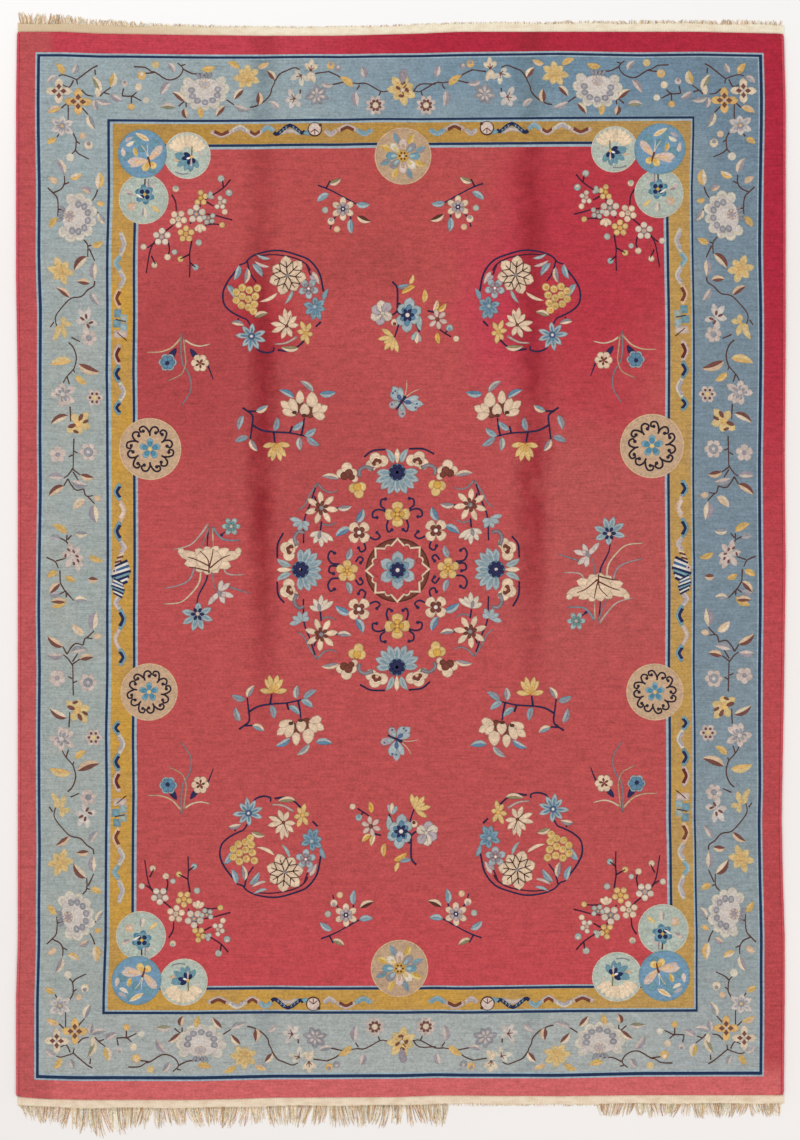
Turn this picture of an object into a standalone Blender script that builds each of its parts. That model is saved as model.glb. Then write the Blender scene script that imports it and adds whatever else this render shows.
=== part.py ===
# A hand-knotted wool rug lying flat, seen in a frame with +X to the right of
# the design, +Y to its upper end and +Z up out of the pile. The origin is on
# the underside, at the centre of the pile. Everything is in metres.
import math
import random

import bmesh
import bpy
import numpy as np

for leftover in list(bpy.data.objects):
    bpy.data.objects.remove(leftover)

# Sizes of the knotted sheet
PILE_WIDTH = 2.504
PILE_LENGTH = 3.470
RUG_THICKNESS = 0.011

# Lines along the rug where it was once folded, and how far the pile sinks there
CREASE_X = (-0.443, 0.404)
CREASE_DEPTH = 0.0016
CREASE_HALF_WIDTH = 0.045

# Spacing of the lines that the upper face is built on
COLUMN_PITCH = 0.125
ROW_PITCH = 0.190
CORNER_PITCH = 0.020
CORNER_ROUNDING = 0.001

# The woven cotton ends and their strands
END_GAP = 0.0004
END_THICKNESS = 0.0030
END_WIDTH = 0.029
END_WAVE = 0.0015
END_WAVES_PER_METRE = 23
END_INSET = 0.002
BARE_PITCH = 0.045
STRAND_TIP_SHARE = 0.55
STRAND_TIP_THICKNESS = 0.0024
LENGTH_JITTER = 0.16
TIP_JITTER = 0.0004
RANDOM_SEED = 31

# How far each side wanders from a straight line: (along the side, outward)
LEFT_SIDE = ((-1.73, 0.004), (-1.41, 0.004), (-1.22, -0.002), (0.54, -0.002),
             (0.73, 0.001), (0.93, 0.004), (1.51, 0.004), (1.73, 0.001))
RIGHT_SIDE = ((-1.73, -0.003), (-1.41, 0.000), (-1.22, 0.000), (-1.03, -0.006),
              (-0.83, -0.010), (-0.44, -0.003), (0.00, 0.003), (0.34, 0.000),
              (0.73, 0.003), (1.51, 0.003), (1.73, -0.003))
UPPER_END = ((-1.25, 0.004), (-1.10, 0.004), (-0.98, -0.002), (-0.72, -0.006),
             (-0.46, -0.009), (-0.20, -0.009), (0.06, -0.002), (0.19, 0.004),
             (0.97, 0.004), (1.10, 0.001), (1.25, -0.002))
LOWER_END = ((-1.25, -0.001), (-1.18, 0.005), (-1.05, 0.009), (-0.66, 0.009),
             (-0.40, 0.002), (-0.01, 0.000), (0.12, -0.005), (0.51, -0.003),
             (0.77, -0.006), (1.25, -0.006))

# Section through a long side, with the overcast edge cord and the groove
# between it and the pile, and through an end: (in from the edge, height)
SIDE_SECTION = ((0.0008, 0.0000), (0.0000, 0.0032), (0.0005, 0.0064), (0.0022, 0.0086),
                (0.0050, 0.0092), (0.0080, 0.0086), (0.0100, 0.0080), (0.0120, 0.0102),
                (0.0150, 0.0110))
END_SECTION = ((0.0000, 0.0000), (0.0000, 0.0032), (0.0000, 0.0064), (0.0003, 0.0084),
               (0.0010, 0.0096), (0.0022, 0.0104), (0.0040, 0.0108), (0.0080, 0.0110),
               (0.0150, 0.0110))

# Runs of strands: (from x, to x, pitch, length at the start, length at the
# end, sideways wave of the tips, length of one wave)
UPPER_STRANDS = ((-1.240, -0.850, 0.0090, 0.034, 0.014, 0.010, 0.170),
                 (0.640, 1.240, 0.0130, 0.012, 0.015, 0.006, 0.150))
LOWER_STRANDS = ((-1.245, -0.980, 0.0104, 0.034, 0.094, 0.012, 0.210),
                 (-0.980, -0.700, 0.0104, 0.082, 0.050, 0.014, 0.200),
                 (-0.700, 0.155, 0.0104, 0.058, 0.066, 0.016, 0.240),
                 (0.640, 1.240, 0.0104, 0.040, 0.046, 0.013, 0.190))
STRAND_SECTIONS = {"upper": 2, "lower": 3}


def wander(table, along):
    """Outward wander of a side at a distance along it."""
    stations = [row[0] for row in table]
    offsets = [row[1] for row in table]
    return float(np.interp(along, stations, offsets))


def stations(half, pitch, extra=()):
    """Even stations from -half to half, close together at the corners."""
    count = round(2 * half / pitch)
    line = list(np.linspace(-half, half, count + 1))
    line += [-half + CORNER_PITCH, half - CORNER_PITCH]
    for place in extra:
        line = [x for x in line if abs(x - place) > CREASE_HALF_WIDTH * 1.2]
        line += [place + share * CREASE_HALF_WIDTH for share in (-1, -0.45, 0, 0.45, 1)]
    return sorted(line)


def crease(x):
    """How far the pile sinks at x, as a share of the thickness."""
    depth = 0.0
    for place in CREASE_X:
        depth += math.exp(-(2 * (x - place) / CREASE_HALF_WIDTH) ** 2)
    return depth * CREASE_DEPTH / RUG_THICKNESS


def sheet_point(x, y):
    """Place of a grid station on the uneven sheet."""
    half_x = PILE_WIDTH / 2
    half_y = PILE_LENGTH / 2
    left = -half_x - wander(LEFT_SIDE, y)
    right = half_x + wander(RIGHT_SIDE, y)
    lower = -half_y - wander(LOWER_END, x)
    upper = half_y + wander(UPPER_END, x)
    across = (x + half_x) / PILE_WIDTH
    along = (y + half_y) / PILE_LENGTH
    return left + (right - left) * across, lower + (upper - lower) * along


def finish(name, mesh_data, colour, roughness):
    """Turn a bmesh into a named object with its own material."""
    bmesh.ops.recalc_face_normals(mesh_data, faces=mesh_data.faces)
    mesh = bpy.data.meshes.new(name)
    mesh_data.to_mesh(mesh)
    mesh_data.free()
    material = bpy.data.materials.new(name)
    material.use_nodes = True
    shader = material.node_tree.nodes["Principled BSDF"]
    shader.inputs["Base Color"].default_value = colour
    shader.inputs["Roughness"].default_value = roughness
    shader.inputs["Metallic"].default_value = 0.0
    mesh.materials.append(material)
    thing = bpy.data.objects.new(name, mesh)
    bpy.context.collection.objects.link(thing)
    return thing


def boundary(columns, rows):
    """Grid places around the sheet, anticlockwise from the lower left."""
    last_column = len(columns) - 1
    last_row = len(rows) - 1
    walk = [(i, 0) for i in range(last_column)]
    walk += [(last_column, j) for j in range(last_row)]
    walk += [(i, last_row) for i in range(last_column, 0, -1)]
    walk += [(0, j) for j in range(last_row, 0, -1)]
    return walk


def section_at(level, on_side, on_end):
    """Inset and height of one line of the edge section."""
    side_inset, side_height = SIDE_SECTION[level]
    end_inset, end_height = END_SECTION[level]
    if on_side and on_end:
        mean_height = (side_height + end_height) / 2
        return side_inset + CORNER_ROUNDING, end_inset + CORNER_ROUNDING, mean_height
    if on_side:
        return side_inset, 0.0, side_height
    return 0.0, end_inset, end_height


# The knotted sheet: pile and foundation in one, flat underneath
columns = stations(PILE_WIDTH / 2, COLUMN_PITCH, CREASE_X)
rows = stations(PILE_LENGTH / 2, ROW_PITCH)
last_column = len(columns) - 1
last_row = len(rows) - 1
walk = boundary(columns, rows)

sheet = bmesh.new()
rings = []
for level in range(len(SIDE_SECTION)):
    ring = []
    for i, j in walk:
        on_side = i in (0, last_column)
        on_end = j in (0, last_row)
        inset_x, inset_y, height = section_at(level, on_side, on_end)
        x, y = sheet_point(columns[i], rows[j])
        x -= math.copysign(inset_x, x)
        y -= math.copysign(inset_y, y)
        ring.append(sheet.verts.new((x, y, height * (1 - crease(x)))))
    rings.append(ring)
for lower_ring, upper_ring in zip(rings, rings[1:]):
    for k in range(len(walk)):
        after = (k + 1) % len(walk)
        sheet.faces.new((lower_ring[k], lower_ring[after], upper_ring[after], upper_ring[k]))
sheet.faces.new(rings[0][::-1])

upper_face = {place: rings[-1][k] for k, place in enumerate(walk)}
for i in range(1, last_column):
    for j in range(1, last_row):
        x, y = sheet_point(columns[i], rows[j])
        height = RUG_THICKNESS * (1 - crease(x))
        upper_face[i, j] = sheet.verts.new((x, y, height))
for i in range(last_column):
    for j in range(last_row):
        corners = [(i, j), (i + 1, j), (i + 1, j + 1), (i, j + 1)]
        sheet.faces.new([upper_face[corner] for corner in corners])

# The end edges as they were built, for the cotton ends to follow
lower_edge = sorted((v.co.x, v.co.y) for (i, j), v in zip(walk, rings[0]) if j == 0)
upper_edge = sorted((v.co.x, v.co.y) for (i, j), v in zip(walk, rings[0]) if j == last_row)
finish("rug_body", sheet, (0.42, 0.06, 0.06, 1.0), 0.95)


def strip_stations(runs):
    """Stations along an end: a list of x, and which spaces carry a strand."""
    marks = []
    strands = []
    reach = PILE_WIDTH / 2 - END_INSET
    x = -reach
    for start, stop, pitch, first, last, wave, wave_length in runs:
        while x < start - pitch:
            marks.append(x)
            x += min(BARE_PITCH, start - x)
        count = int((min(stop, reach) - start) / pitch)
        for n in range(count):
            share = n / count
            root = start + n * pitch
            marks += [root, root + pitch / 2]
            length = first + (last - first) * share
            strands.append((len(marks) - 2, length, wave, wave_length))
        x = start + count * pitch
    while x < reach - 0.5 * BARE_PITCH:
        marks.append(x)
        x += BARE_PITCH
    marks.append(reach)
    return marks, strands


def woven_end(name, edge, outward, runs, sections, seed):
    """A cotton strip along an end of the pile, with its strands."""
    chance = random.Random(seed)
    marks, strands = strip_stations(runs)
    strip = bmesh.new()
    inner = []
    outer = []
    for x in marks:
        edge_y = float(np.interp(x, [p[0] for p in edge], [p[1] for p in edge]))
        near = edge_y + outward * END_GAP
        far = edge_y + outward * (END_WIDTH + END_WAVE * math.sin(x * END_WAVES_PER_METRE))
        inner.append([strip.verts.new((x, near, z)) for z in (0.0, END_THICKNESS)])
        outer.append([strip.verts.new((x, far, z)) for z in (0.0, END_THICKNESS)])
    carries = {first: row for first, *row in strands}
    for k in range(len(marks) - 1):
        strip.faces.new((inner[k][1], inner[k + 1][1], outer[k + 1][1], outer[k][1]))
        strip.faces.new((inner[k][0], outer[k][0], outer[k + 1][0], inner[k + 1][0]))
        strip.faces.new((inner[k][0], inner[k + 1][0], inner[k + 1][1], inner[k][1]))
        root = (outer[k][0], outer[k + 1][0], outer[k + 1][1], outer[k][1])
        if k not in carries:
            strip.faces.new(root)
            continue
        length, wave, wave_length = carries[k]
        length *= 1 + chance.uniform(-LENGTH_JITTER, LENGTH_JITTER)
        middle = (marks[k] + marks[k + 1]) / 2
        half = (marks[k + 1] - marks[k]) / 2
        base_y = (outer[k][0].co.y + outer[k + 1][0].co.y) / 2
        tip_x = wave * math.sin(2 * math.pi * middle / wave_length)
        tip_x += chance.uniform(-TIP_JITTER, TIP_JITTER)
        before = root
        for n in range(1, sections + 1):
            share = n / sections
            width = half * (1 - (1 - STRAND_TIP_SHARE) * share)
            height = END_THICKNESS + (STRAND_TIP_THICKNESS - END_THICKNESS) * share
            x = middle + tip_x * share ** 1.5
            y = base_y + outward * length * share
            corners = ((x - width, y, 0.0), (x + width, y, 0.0),
                       (x + width, y, height), (x - width, y, height))
            section = [strip.verts.new(corner) for corner in corners]
            for side in range(4):
                after = (side + 1) % 4
                strip.faces.new((before[side], before[after], section[after], section[side]))
            before = section
        strip.faces.new(before)
    for k in (0, len(marks) - 1):
        strip.faces.new((inner[k][0], inner[k][1], outer[k][1], outer[k][0]))
    print(name, "strands", len(strands))
    return finish(name, strip, (0.77, 0.62, 0.45, 1.0), 0.9)


woven_end("fringe_upper", upper_edge, 1, UPPER_STRANDS, STRAND_SECTIONS["upper"], RANDOM_SEED)
woven_end("fringe_lower", lower_edge, -1, LOWER_STRANDS, STRAND_SECTIONS["lower"], RANDOM_SEED + 1)
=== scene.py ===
# %% [markdown]
# # A knotted rug with flowers, roundels and a medallion
# The real rug is one sheet of wool knots on a cotton warp, laid flat. The solids
# of the model are already in place: a slab and two fringed cotton ends. Here
# each of them gets a finer form, and the design is knotted into the pile as
# slightly raised shapes of dyed wool, the way a carver leaves them.

# %% Load the solids
import math
import random

import bpy
import numpy as np
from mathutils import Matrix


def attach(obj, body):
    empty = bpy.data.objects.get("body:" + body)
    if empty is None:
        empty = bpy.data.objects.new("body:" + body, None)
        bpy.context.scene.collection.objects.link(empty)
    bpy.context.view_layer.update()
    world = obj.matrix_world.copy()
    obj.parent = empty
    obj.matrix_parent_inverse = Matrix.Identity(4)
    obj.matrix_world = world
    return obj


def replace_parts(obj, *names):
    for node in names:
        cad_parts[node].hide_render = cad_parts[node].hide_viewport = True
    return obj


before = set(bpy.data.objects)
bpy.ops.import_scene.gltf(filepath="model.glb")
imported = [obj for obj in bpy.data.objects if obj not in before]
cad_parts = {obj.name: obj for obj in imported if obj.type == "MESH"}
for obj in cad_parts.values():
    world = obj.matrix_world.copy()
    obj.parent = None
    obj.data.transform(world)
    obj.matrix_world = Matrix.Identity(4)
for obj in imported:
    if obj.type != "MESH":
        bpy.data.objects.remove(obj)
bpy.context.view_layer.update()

# %% [markdown]
# ## The sheet's sizes
# A rug this old is never a true rectangle. These short tables hold how far each
# side wanders from a straight line, the same ones that the solids were made
# from, so every finer piece lies on its solid. The pile also sinks along two
# lines where the rug was once folded in three.

# %% The uneven sheet
PILE_WIDTH = 2.504
PILE_LENGTH = 3.470
RUG_THICKNESS = 0.011
CREASE_X = (-0.443, 0.404)
CREASE_DEPTH = 0.0012
CREASE_HALF_WIDTH = 0.060

LEFT_SIDE = ((-1.73, 0.004), (-1.41, 0.004), (-1.22, -0.002), (0.54, -0.002),
             (0.73, 0.001), (0.93, 0.004), (1.51, 0.004), (1.73, 0.001))
RIGHT_SIDE = ((-1.73, -0.003), (-1.41, 0.000), (-1.22, 0.000), (-1.03, -0.006),
              (-0.83, -0.010), (-0.44, -0.003), (0.00, 0.003), (0.34, 0.000),
              (0.73, 0.003), (1.51, 0.003), (1.73, -0.003))
UPPER_END = ((-1.25, 0.004), (-1.10, 0.004), (-0.98, -0.002), (-0.72, -0.006),
             (-0.46, -0.009), (-0.20, -0.009), (0.06, -0.002), (0.19, 0.004),
             (0.97, 0.004), (1.10, 0.001), (1.25, -0.002))
LOWER_END = ((-1.25, -0.001), (-1.18, 0.005), (-1.05, 0.009), (-0.66, 0.009),
             (-0.40, 0.002), (-0.01, 0.000), (0.12, -0.005), (0.51, -0.003),
             (0.77, -0.006), (1.25, -0.006))


def wander(table, along):
    """Outward wander of a side at a distance along it."""
    return np.interp(along, [row[0] for row in table], [row[1] for row in table])


def on_sheet(x, y):
    """Where a place of the straight design comes to lie on the uneven sheet."""
    x, y = np.asarray(x, float), np.asarray(y, float)
    across = x / PILE_WIDTH + 0.5
    along = y / PILE_LENGTH + 0.5
    dx = wander(RIGHT_SIDE, y) * across - wander(LEFT_SIDE, y) * (1 - across)
    dy = wander(UPPER_END, x) * along - wander(LOWER_END, x) * (1 - along)
    return x + dx, y + dy


def crease(x):
    """How deep the pile sinks at x."""
    return sum(CREASE_DEPTH * np.exp(-(2 * (np.asarray(x) - place) / CREASE_HALF_WIDTH) ** 2)
               for place in CREASE_X)


print("sides wander by up to", max(abs(row[1]) for row in LEFT_SIDE + RIGHT_SIDE), "m")

# %% [markdown]
# ## Shader maths
# Procedural materials are easier to read as formulas. This class wraps one
# output of a node, and its operators add the Math nodes behind the scenes, so
# `1 - mask * 0.2` is both a line of Python and a small node tree. Colours are
# blended with Mix nodes instead, since a Math node would turn them grey.

# %% A small class for shader expressions
class Wire:
    """One output socket, with operators that add Math nodes."""

    def __init__(self, bench, socket):
        self.bench = bench
        self.socket = socket

    def maths(self, operation, *others, swap=False):
        values = [self, *others]
        if swap:
            values = values[::-1]
        return self.bench.node("ShaderNodeMath", {"operation": operation}, dict(enumerate(values)))

    def __add__(self, other): return self.maths("ADD", other)
    def __radd__(self, other): return self.maths("ADD", other, swap=True)
    def __sub__(self, other): return self.maths("SUBTRACT", other)
    def __rsub__(self, other): return self.maths("SUBTRACT", other, swap=True)
    def __mul__(self, other): return self.maths("MULTIPLY", other)
    def __rmul__(self, other): return self.maths("MULTIPLY", other, swap=True)
    def __truediv__(self, other): return self.maths("DIVIDE", other)
    def __rtruediv__(self, other): return self.maths("DIVIDE", other, swap=True)

    def step(self, low, high):
        """0 below low, 1 above high, smooth between; high may be the lesser."""
        return self.bench.node("ShaderNodeMapRange", {"interpolation_type": "SMOOTHSTEP"},
                               {"Value": self, "From Min": low, "From Max": high})


class Bench:
    """A material's node tree, and the one way to add a node to it."""

    def __init__(self, name):
        self.material = bpy.data.materials.new(name)
        self.material.use_nodes = True
        self.tree = self.material.node_tree
        self.shader = self.tree.nodes["Principled BSDF"]

    def node(self, kind, settings=None, sockets=None, output=0):
        made = self.tree.nodes.new(kind)
        for name, value in (settings or {}).items():
            setattr(made, name, value)
        for name, value in (sockets or {}).items():
            self.plug(made.inputs[name], value)
        return Wire(self, made.outputs[output])

    def plug(self, socket, value):
        if isinstance(value, Wire):
            self.tree.links.new(value.socket, socket)
        else:
            socket.default_value = value[:3] if socket.type == "VECTOR" else value

    def finish(self, **sockets):
        for name, value in sockets.items():
            self.plug(self.shader.inputs[name.replace("_", " ")], value)
        return self.material

    def place(self):
        """Position on the object, in metres."""
        return self.node("ShaderNodeTexCoord", output="Object")

    def axes(self, place):
        split = self.node("ShaderNodeSeparateXYZ", {}, {0: place}).socket.node
        return [Wire(self, output) for output in split.outputs]

    def stretched(self, place, x, y, z=1.0):
        return self.node("ShaderNodeVectorMath", {"operation": "MULTIPLY"},
                         {0: place, 1: (x, y, z)})

    def noise(self, place, scale, detail=2.0, rough=0.5):
        return self.node("ShaderNodeTexNoise", {}, {"Vector": place, "Scale": scale,
                                                    "Detail": detail, "Roughness": rough})

    def mix(self, share, first, second):
        """A blend of two colours, which sit on sockets 6 and 7 of a Mix node."""
        return self.node("ShaderNodeMix", {"data_type": "RGBA"}, {0: share, 6: first, 7: second},
                         output=2)


print("shader maths ready")

# %% [markdown]
# ## The dyes
# The knotter works from a tray of dyed yarns. Each dye is written here as it
# looks in daylight and turned into the linear colour that a shader wants.

# %% The tray of dyes
def linear(red, green, blue):
    """A colour as it looks, 0 to 255, in the linear scale of a shader."""
    shares = [value / 255 for value in (red, green, blue)]
    light = (s / 12.92 if s < 0.04045 else ((s + 0.055) / 1.055) ** 2.4 for s in shares)
    return (*light, 1.0)


DYES = {name: linear(*seen) for name, seen in {
    "white": (232, 224, 214), "cream": (224, 200, 170), "ivory": (212, 200, 180),
    "blush": (206, 192, 182), "straw": (216, 184, 120), "gold": (206, 164, 74),
    "amber": (220, 172, 92), "peach": (216, 180, 144), "rose": (204, 182, 170),
    "sand": (190, 158, 128), "lilac": (170, 161, 164), "mauve": (152, 138, 146),
    "dove": (141, 138, 143), "aqua": (150, 176, 172), "mist": (158, 178, 180),
    "line": (152, 170, 178), "sky": (120, 156, 167), "blue": (80, 131, 156),
    "steel": (66, 100, 138), "steel_aqua": (108, 146, 158), "deep_blue": (112, 146, 170),
    "teal": (92, 146, 146), "pale": (176, 184, 172), "navy": (34, 42, 80),
    "line_navy": (28, 46, 78), "plum": (68, 34, 60), "maroon": (100, 40, 42),
    "brown": (112, 60, 48), "cocoa": (84, 50, 40), "ink": (46, 34, 48), "olive": (134, 128, 96),
    "red": (182, 74, 76), "grey_blue": (150, 160, 160),
}.items()}
print(len(DYES), "dyes in the tray")


# %% [markdown]
# ## Wool
# Cut wool pile is matt, with a little light caught in its tips. Its colour is
# never even: each row of knots was dyed or worn a little differently, which
# shows as fine streaks across the rug, and single knots stand out as specks.
# One function makes that material from a ground colour, so that every dye has
# the same surface, and only the ground colour differs.

# %% The wool material
KNOT = 0.0034  # metres from knot to knot


def worn(bench, place, colour, streaks=0.32, specks=0.32):
    """A dyed colour with row streaks, specks and soft lumps of wear."""
    rows = bench.noise(bench.stretched(place, 11, 210), 1.0, 3.0, 0.6)
    knots = bench.noise(place, 0.5 / KNOT, 1.0)
    lumps = bench.noise(bench.stretched(place, 28, 44), 1.0, 3.0, 0.6)
    light = 1 + streaks * (rows - 0.5) * 2 + specks * (knots - 0.5) * 2 + 0.24 * (lumps - 0.5) * 2
    return bench.node("ShaderNodeVectorMath", {"operation": "SCALE"}, {0: colour, "Scale": light})


def tufts(bench, place, strength=0.35):
    """Bump of knot rows and of the fibres at their tips."""
    x, y, _ = bench.axes(place)
    row = (y * (math.tau / KNOT)).maths("SINE")
    column = (x * (math.tau / KNOT)).maths("SINE")
    fibres = bench.noise(place, 900.0, 2.0)
    lumps = bench.noise(place, 45.0, 2.0)
    height = row * 0.16 + column * 0.10 + fibres * 0.5 + lumps * 1.2
    return bench.node("ShaderNodeBump", {}, {"Strength": strength, "Distance": 0.0012,
                                             "Height": height})


def wool(name, ground, **how):
    """A wool material. ground(bench, place) gives its colour."""
    bench = Bench(name)
    place = bench.place()
    colour = worn(bench, place, ground(bench, place), **how)
    return bench.finish(Base_Color=colour, Normal=tufts(bench, place), Roughness=0.93,
                        Sheen_Weight=0.12, Sheen_Roughness=0.5, Specular_IOR_Level=0.15)


# %% [markdown]
# ## Grounds of the field and the borders
# A large ground isn't one colour. Soft oval washes lie where the rug faded or
# kept its dye, and their outlines drift so that no edge shows. The two old
# folds leave dull, smudged bands: painted shade of the creases, with some dust
# settled in them.

# %% Washes and the painted shade of the folds
def wash(place, centre, size):
    """A soft oval patch, 1 at its centre and 0 at its rim."""
    x, y = ((along - middle) * (1 / half) for along, middle, half in zip(place, centre, size))
    return (x * x + y * y).step(1.0, 0.0)


def drifting(bench, place, reach):
    """The position, pushed about a little, so that patches have no hard outline."""
    x, y, _ = bench.axes(place)
    return (x + (bench.noise(place, 2.6, 3.0) - 0.5) * reach,
            y + (bench.noise(bench.stretched(place, 1, 1, 7), 3.1, 3.0) - 0.5) * reach)


def fold_shade_and_dust(bench, place, column, spread):
    """The dull band along an old fold: painted shade of the crease, with some dust."""
    x = drifting(bench, place, 0.05)[0] + (bench.noise(place, 17.0, 4.0, 0.7) - 0.5) * 0.075
    smudges = bench.noise(bench.stretched(place, 9, 5), 1.0, 3.0, 0.6).step(0.30, 0.56)
    return ((x - column) * (1 / spread)).maths("ABSOLUTE").step(1.0, 0.0) * (smudges * 0.45 + 0.55)


# Strength, centre, half widths and colour of the washes of the red field
RED_WASHES = ((0.85, (0.62, 1.02), (0.46, 0.72), (178, 48, 64)),
              (0.55, (0.30, 0.86), (0.20, 0.40), (190, 54, 78)),
              (0.65, (-0.66, 0.70), (0.40, 0.42), (164, 62, 66)),
              (0.60, (-0.10, 1.12), (0.50, 0.36), (176, 74, 71)),
              (0.55, (-0.10, 0.98), (0.22, 0.12), (164, 70, 68)),
              (0.55, (-0.30, 0.35), (0.45, 0.40), (170, 72, 72)),
              (0.45, (0.62, 0.05), (0.42, 0.55), (176, 88, 84)),
              (0.60, (-0.44, 0.86), (0.14, 0.20), (170, 34, 50)),
              (0.40, (-0.80, 1.25), (0.30, 0.35), (188, 76, 82)))
print(len(RED_WASHES), "washes on the red field")


# %% The red, blue and gold grounds
def red_ground(bench, place):
    """Coral red, crimson where it is least worn, dusty and dull elsewhere."""
    x, y, _ = bench.axes(place)
    here = drifting(bench, place, 0.45)
    colour = bench.mix(y.step(-0.9, -1.35), linear(182, 77, 77), linear(188, 71, 76))
    for share, centre, size, dye in RED_WASHES:
        colour = bench.mix(wash(here, centre, size) * share, colour, linear(*dye))
    # The plain guard outside the border has faded in its own way
    sides, ends = x.maths("ABSOLUTE").step(1.17, 1.19), y.maths("ABSOLUTE").step(1.655, 1.67)
    guard = sides.maths("MAXIMUM", ends)
    upper = here[1].step(-0.9, 1.0)
    right = here[0].step(-0.5, 0.1)
    edge = bench.mix(upper, linear(203, 98, 98), linear(188, 62, 76))
    edge = bench.mix(upper * right, edge, linear(172, 38, 58))
    edge = bench.mix((1 - upper) * right * 0.9 * y.step(-1.68, -1.60), edge, linear(176, 66, 70))
    edge = bench.mix(x.step(-1.12, -1.16) * 0.8, edge, linear(180, 82, 82))
    colour = bench.mix(guard, colour, edge)
    # Painted shade along the two old folds, partly dust: two darker bands
    left = fold_shade_and_dust(bench, place, -0.452, 0.070) * y.step(-0.75, 0.25)
    left = left * y.step(1.9, 0.4).maths("MAXIMUM", 0.45)
    right = fold_shade_and_dust(bench, place, 0.428, 0.085) * y.step(-0.70, 0.30)
    colour = bench.mix(left * 0.95, colour, linear(140, 36, 43))
    return bench.mix(right * 0.85, colour, linear(148, 36, 47))


def blue_ground(bench, place):
    """Grey-blue of the main border, deeper at the upper end, and darker at the right with painted
    shade from the lie of the pile and some wear.
    """
    x, y, _ = bench.axes(place)
    here = drifting(bench, place, 0.5)
    patches = bench.noise(place, 16.0, 3.0)
    colour = bench.mix((patches - 0.35) * 1.6, linear(153, 162, 159), linear(167, 167, 160))
    colour = bench.mix(y.step(0.5, 1.6) * 0.4, colour, linear(138, 160, 172))
    colour = bench.mix(y.step(-1.3, -1.6) * 0.6, colour, linear(168, 171, 168))
    top = here[1].step(1.2, 1.6) * here[0].step(-0.75, 0.5)
    colour = bench.mix(top * 0.85, colour, linear(102, 131, 152))
    # Darker at the right: painted shade from the lie of the pile, with some wear
    deep = here[0].step(0.7, 1.0) * here[1].step(-2.2, 0.1)
    colour = bench.mix(deep * 0.85, colour, linear(109, 129, 144))
    # Painted shade along the two old folds, partly dust
    left, right = fold_shade_and_dust(bench, place, -0.45, 0.06), fold_shade_and_dust(bench, place, 0.42, 0.07)
    fold = left.maths("MAXIMUM", right)
    return bench.mix(fold * (0.25 + 0.35 * y.step(-0.4, 0.4)), colour, linear(94, 114, 122))


def gold_ground(bench, place):
    """Gold of the inner border, with worn and browned stretches."""
    x, y, _ = bench.axes(place)
    drift = bench.noise(place, 7.0, 3.0)
    colour = bench.mix((drift - 0.32) * 1.8, linear(194, 148, 62), linear(174, 136, 84))
    colour = bench.mix(y.step(1.20, 1.42) * 0.40, colour, linear(150, 116, 66))
    return bench.mix(x.step(0.2, 0.9) * 0.5, colour, linear(174, 142, 92))


def plain(dye):
    """A ground of one dye."""
    return lambda bench, place: DYES[dye]


def dyed_ground(bench, place):
    """The dye that each knotted shape carries with it."""
    return bench.node("ShaderNodeVertexColor", {"layer_name": "dye"})


WOOL = {
    "red": wool("coral_red_wool", red_ground),
    "blue": wool("grey_blue_wool", blue_ground),
    "gold": wool("gold_wool", gold_ground),
    "navy": wool("navy_wool", plain("line_navy")),
    "mist": wool("pale_line_wool", plain("line")),
    "dyed": wool("motif_wool", dyed_ground, streaks=0.20, specks=0.36),
}
print("wool materials:", ", ".join(WOOL))


# %% [markdown]
# ## Making a piece
# Every piece ends the same way: a mesh from corner places and faces, a
# material and the body that it rides on. A map named `OFBake` lays the piece
# out flat, mostly as seen from above, so that the design would stay sharp in
# colours painted onto that map.


def make_piece(name, corners, faces, material, uv, dyes=None, smooth=False):
    """A mesh on the rug. The dyes are given for each corner or for each face,
    and uv for each corner (as an array) or for each corner of each face."""
    mesh = bpy.data.meshes.new(name)
    mesh.from_pydata([tuple(map(float, c)) for c in corners], [], faces)
    mesh.materials.append(material)
    if dyes is not None:
        by_point = len(dyes) == len(corners)
        layer = mesh.color_attributes.new("dye", "FLOAT_COLOR", "POINT" if by_point else "CORNER")
        spread = np.asarray(dyes, np.float32)
        if not by_point:
            spread = np.repeat(spread, [len(f) for f in faces], axis=0)
        layer.data.foreach_set("color", spread.ravel())
    layer = mesh.uv_layers.new(name="OFBake")
    flat = np.concatenate([uv[list(f)] for f in faces]) if isinstance(uv, np.ndarray) else uv
    layer.data.foreach_set("uv", np.asarray(flat, np.float32).ravel())
    mesh.polygons.foreach_set("use_smooth", [smooth] * len(faces))
    mesh.validate()
    thing = bpy.data.objects.new(name, mesh)
    bpy.context.collection.objects.link(thing)
    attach(thing, "root")
    return thing


def seen_from_above(corners, margin=0.01):
    """Each corner's place in the piece's own box, as a map."""
    flat = np.asarray([c[:2] for c in corners], float)
    low, high = flat.min(0), flat.max(0)
    return margin + (1 - 2 * margin) * (flat - low) / np.maximum(high - low, 1e-6)


# %% [markdown]
# ## The pile
# The slab of pile is a grid that follows the uneven outline, finer than its
# solid, with the two soft troughs of the old folds. Its edges are rounded over
# as cut pile is, and its back is flat on the floor.

# %% The slab of pile
# How far in from the outline, and how high, each ring of the edge lies
SIDE_SECTION = ((0.0100, 0.0000), (0.0098, 0.0060), (0.0106, 0.0092), (0.0124, 0.0106),
                (0.0160, 0.0110))
END_SECTION = ((0.0000, 0.0000), (0.0000, 0.0062), (0.0008, 0.0094), (0.0026, 0.0107),
               (0.0070, 0.0110))
COLUMN_PITCH, ROW_PITCH = 0.028, 0.035


def line_of(half, pitch, extra=()):
    """Places from -half to half, closer together across each extra place."""
    line = list(np.linspace(-half, half, round(2 * half / pitch) + 1))
    for place in extra:
        line = [x for x in line if abs(x - place) > CREASE_HALF_WIDTH * 1.1]
        line += list(place + CREASE_HALF_WIDTH * np.linspace(-1, 1, 11))
    return sorted(line)


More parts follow.
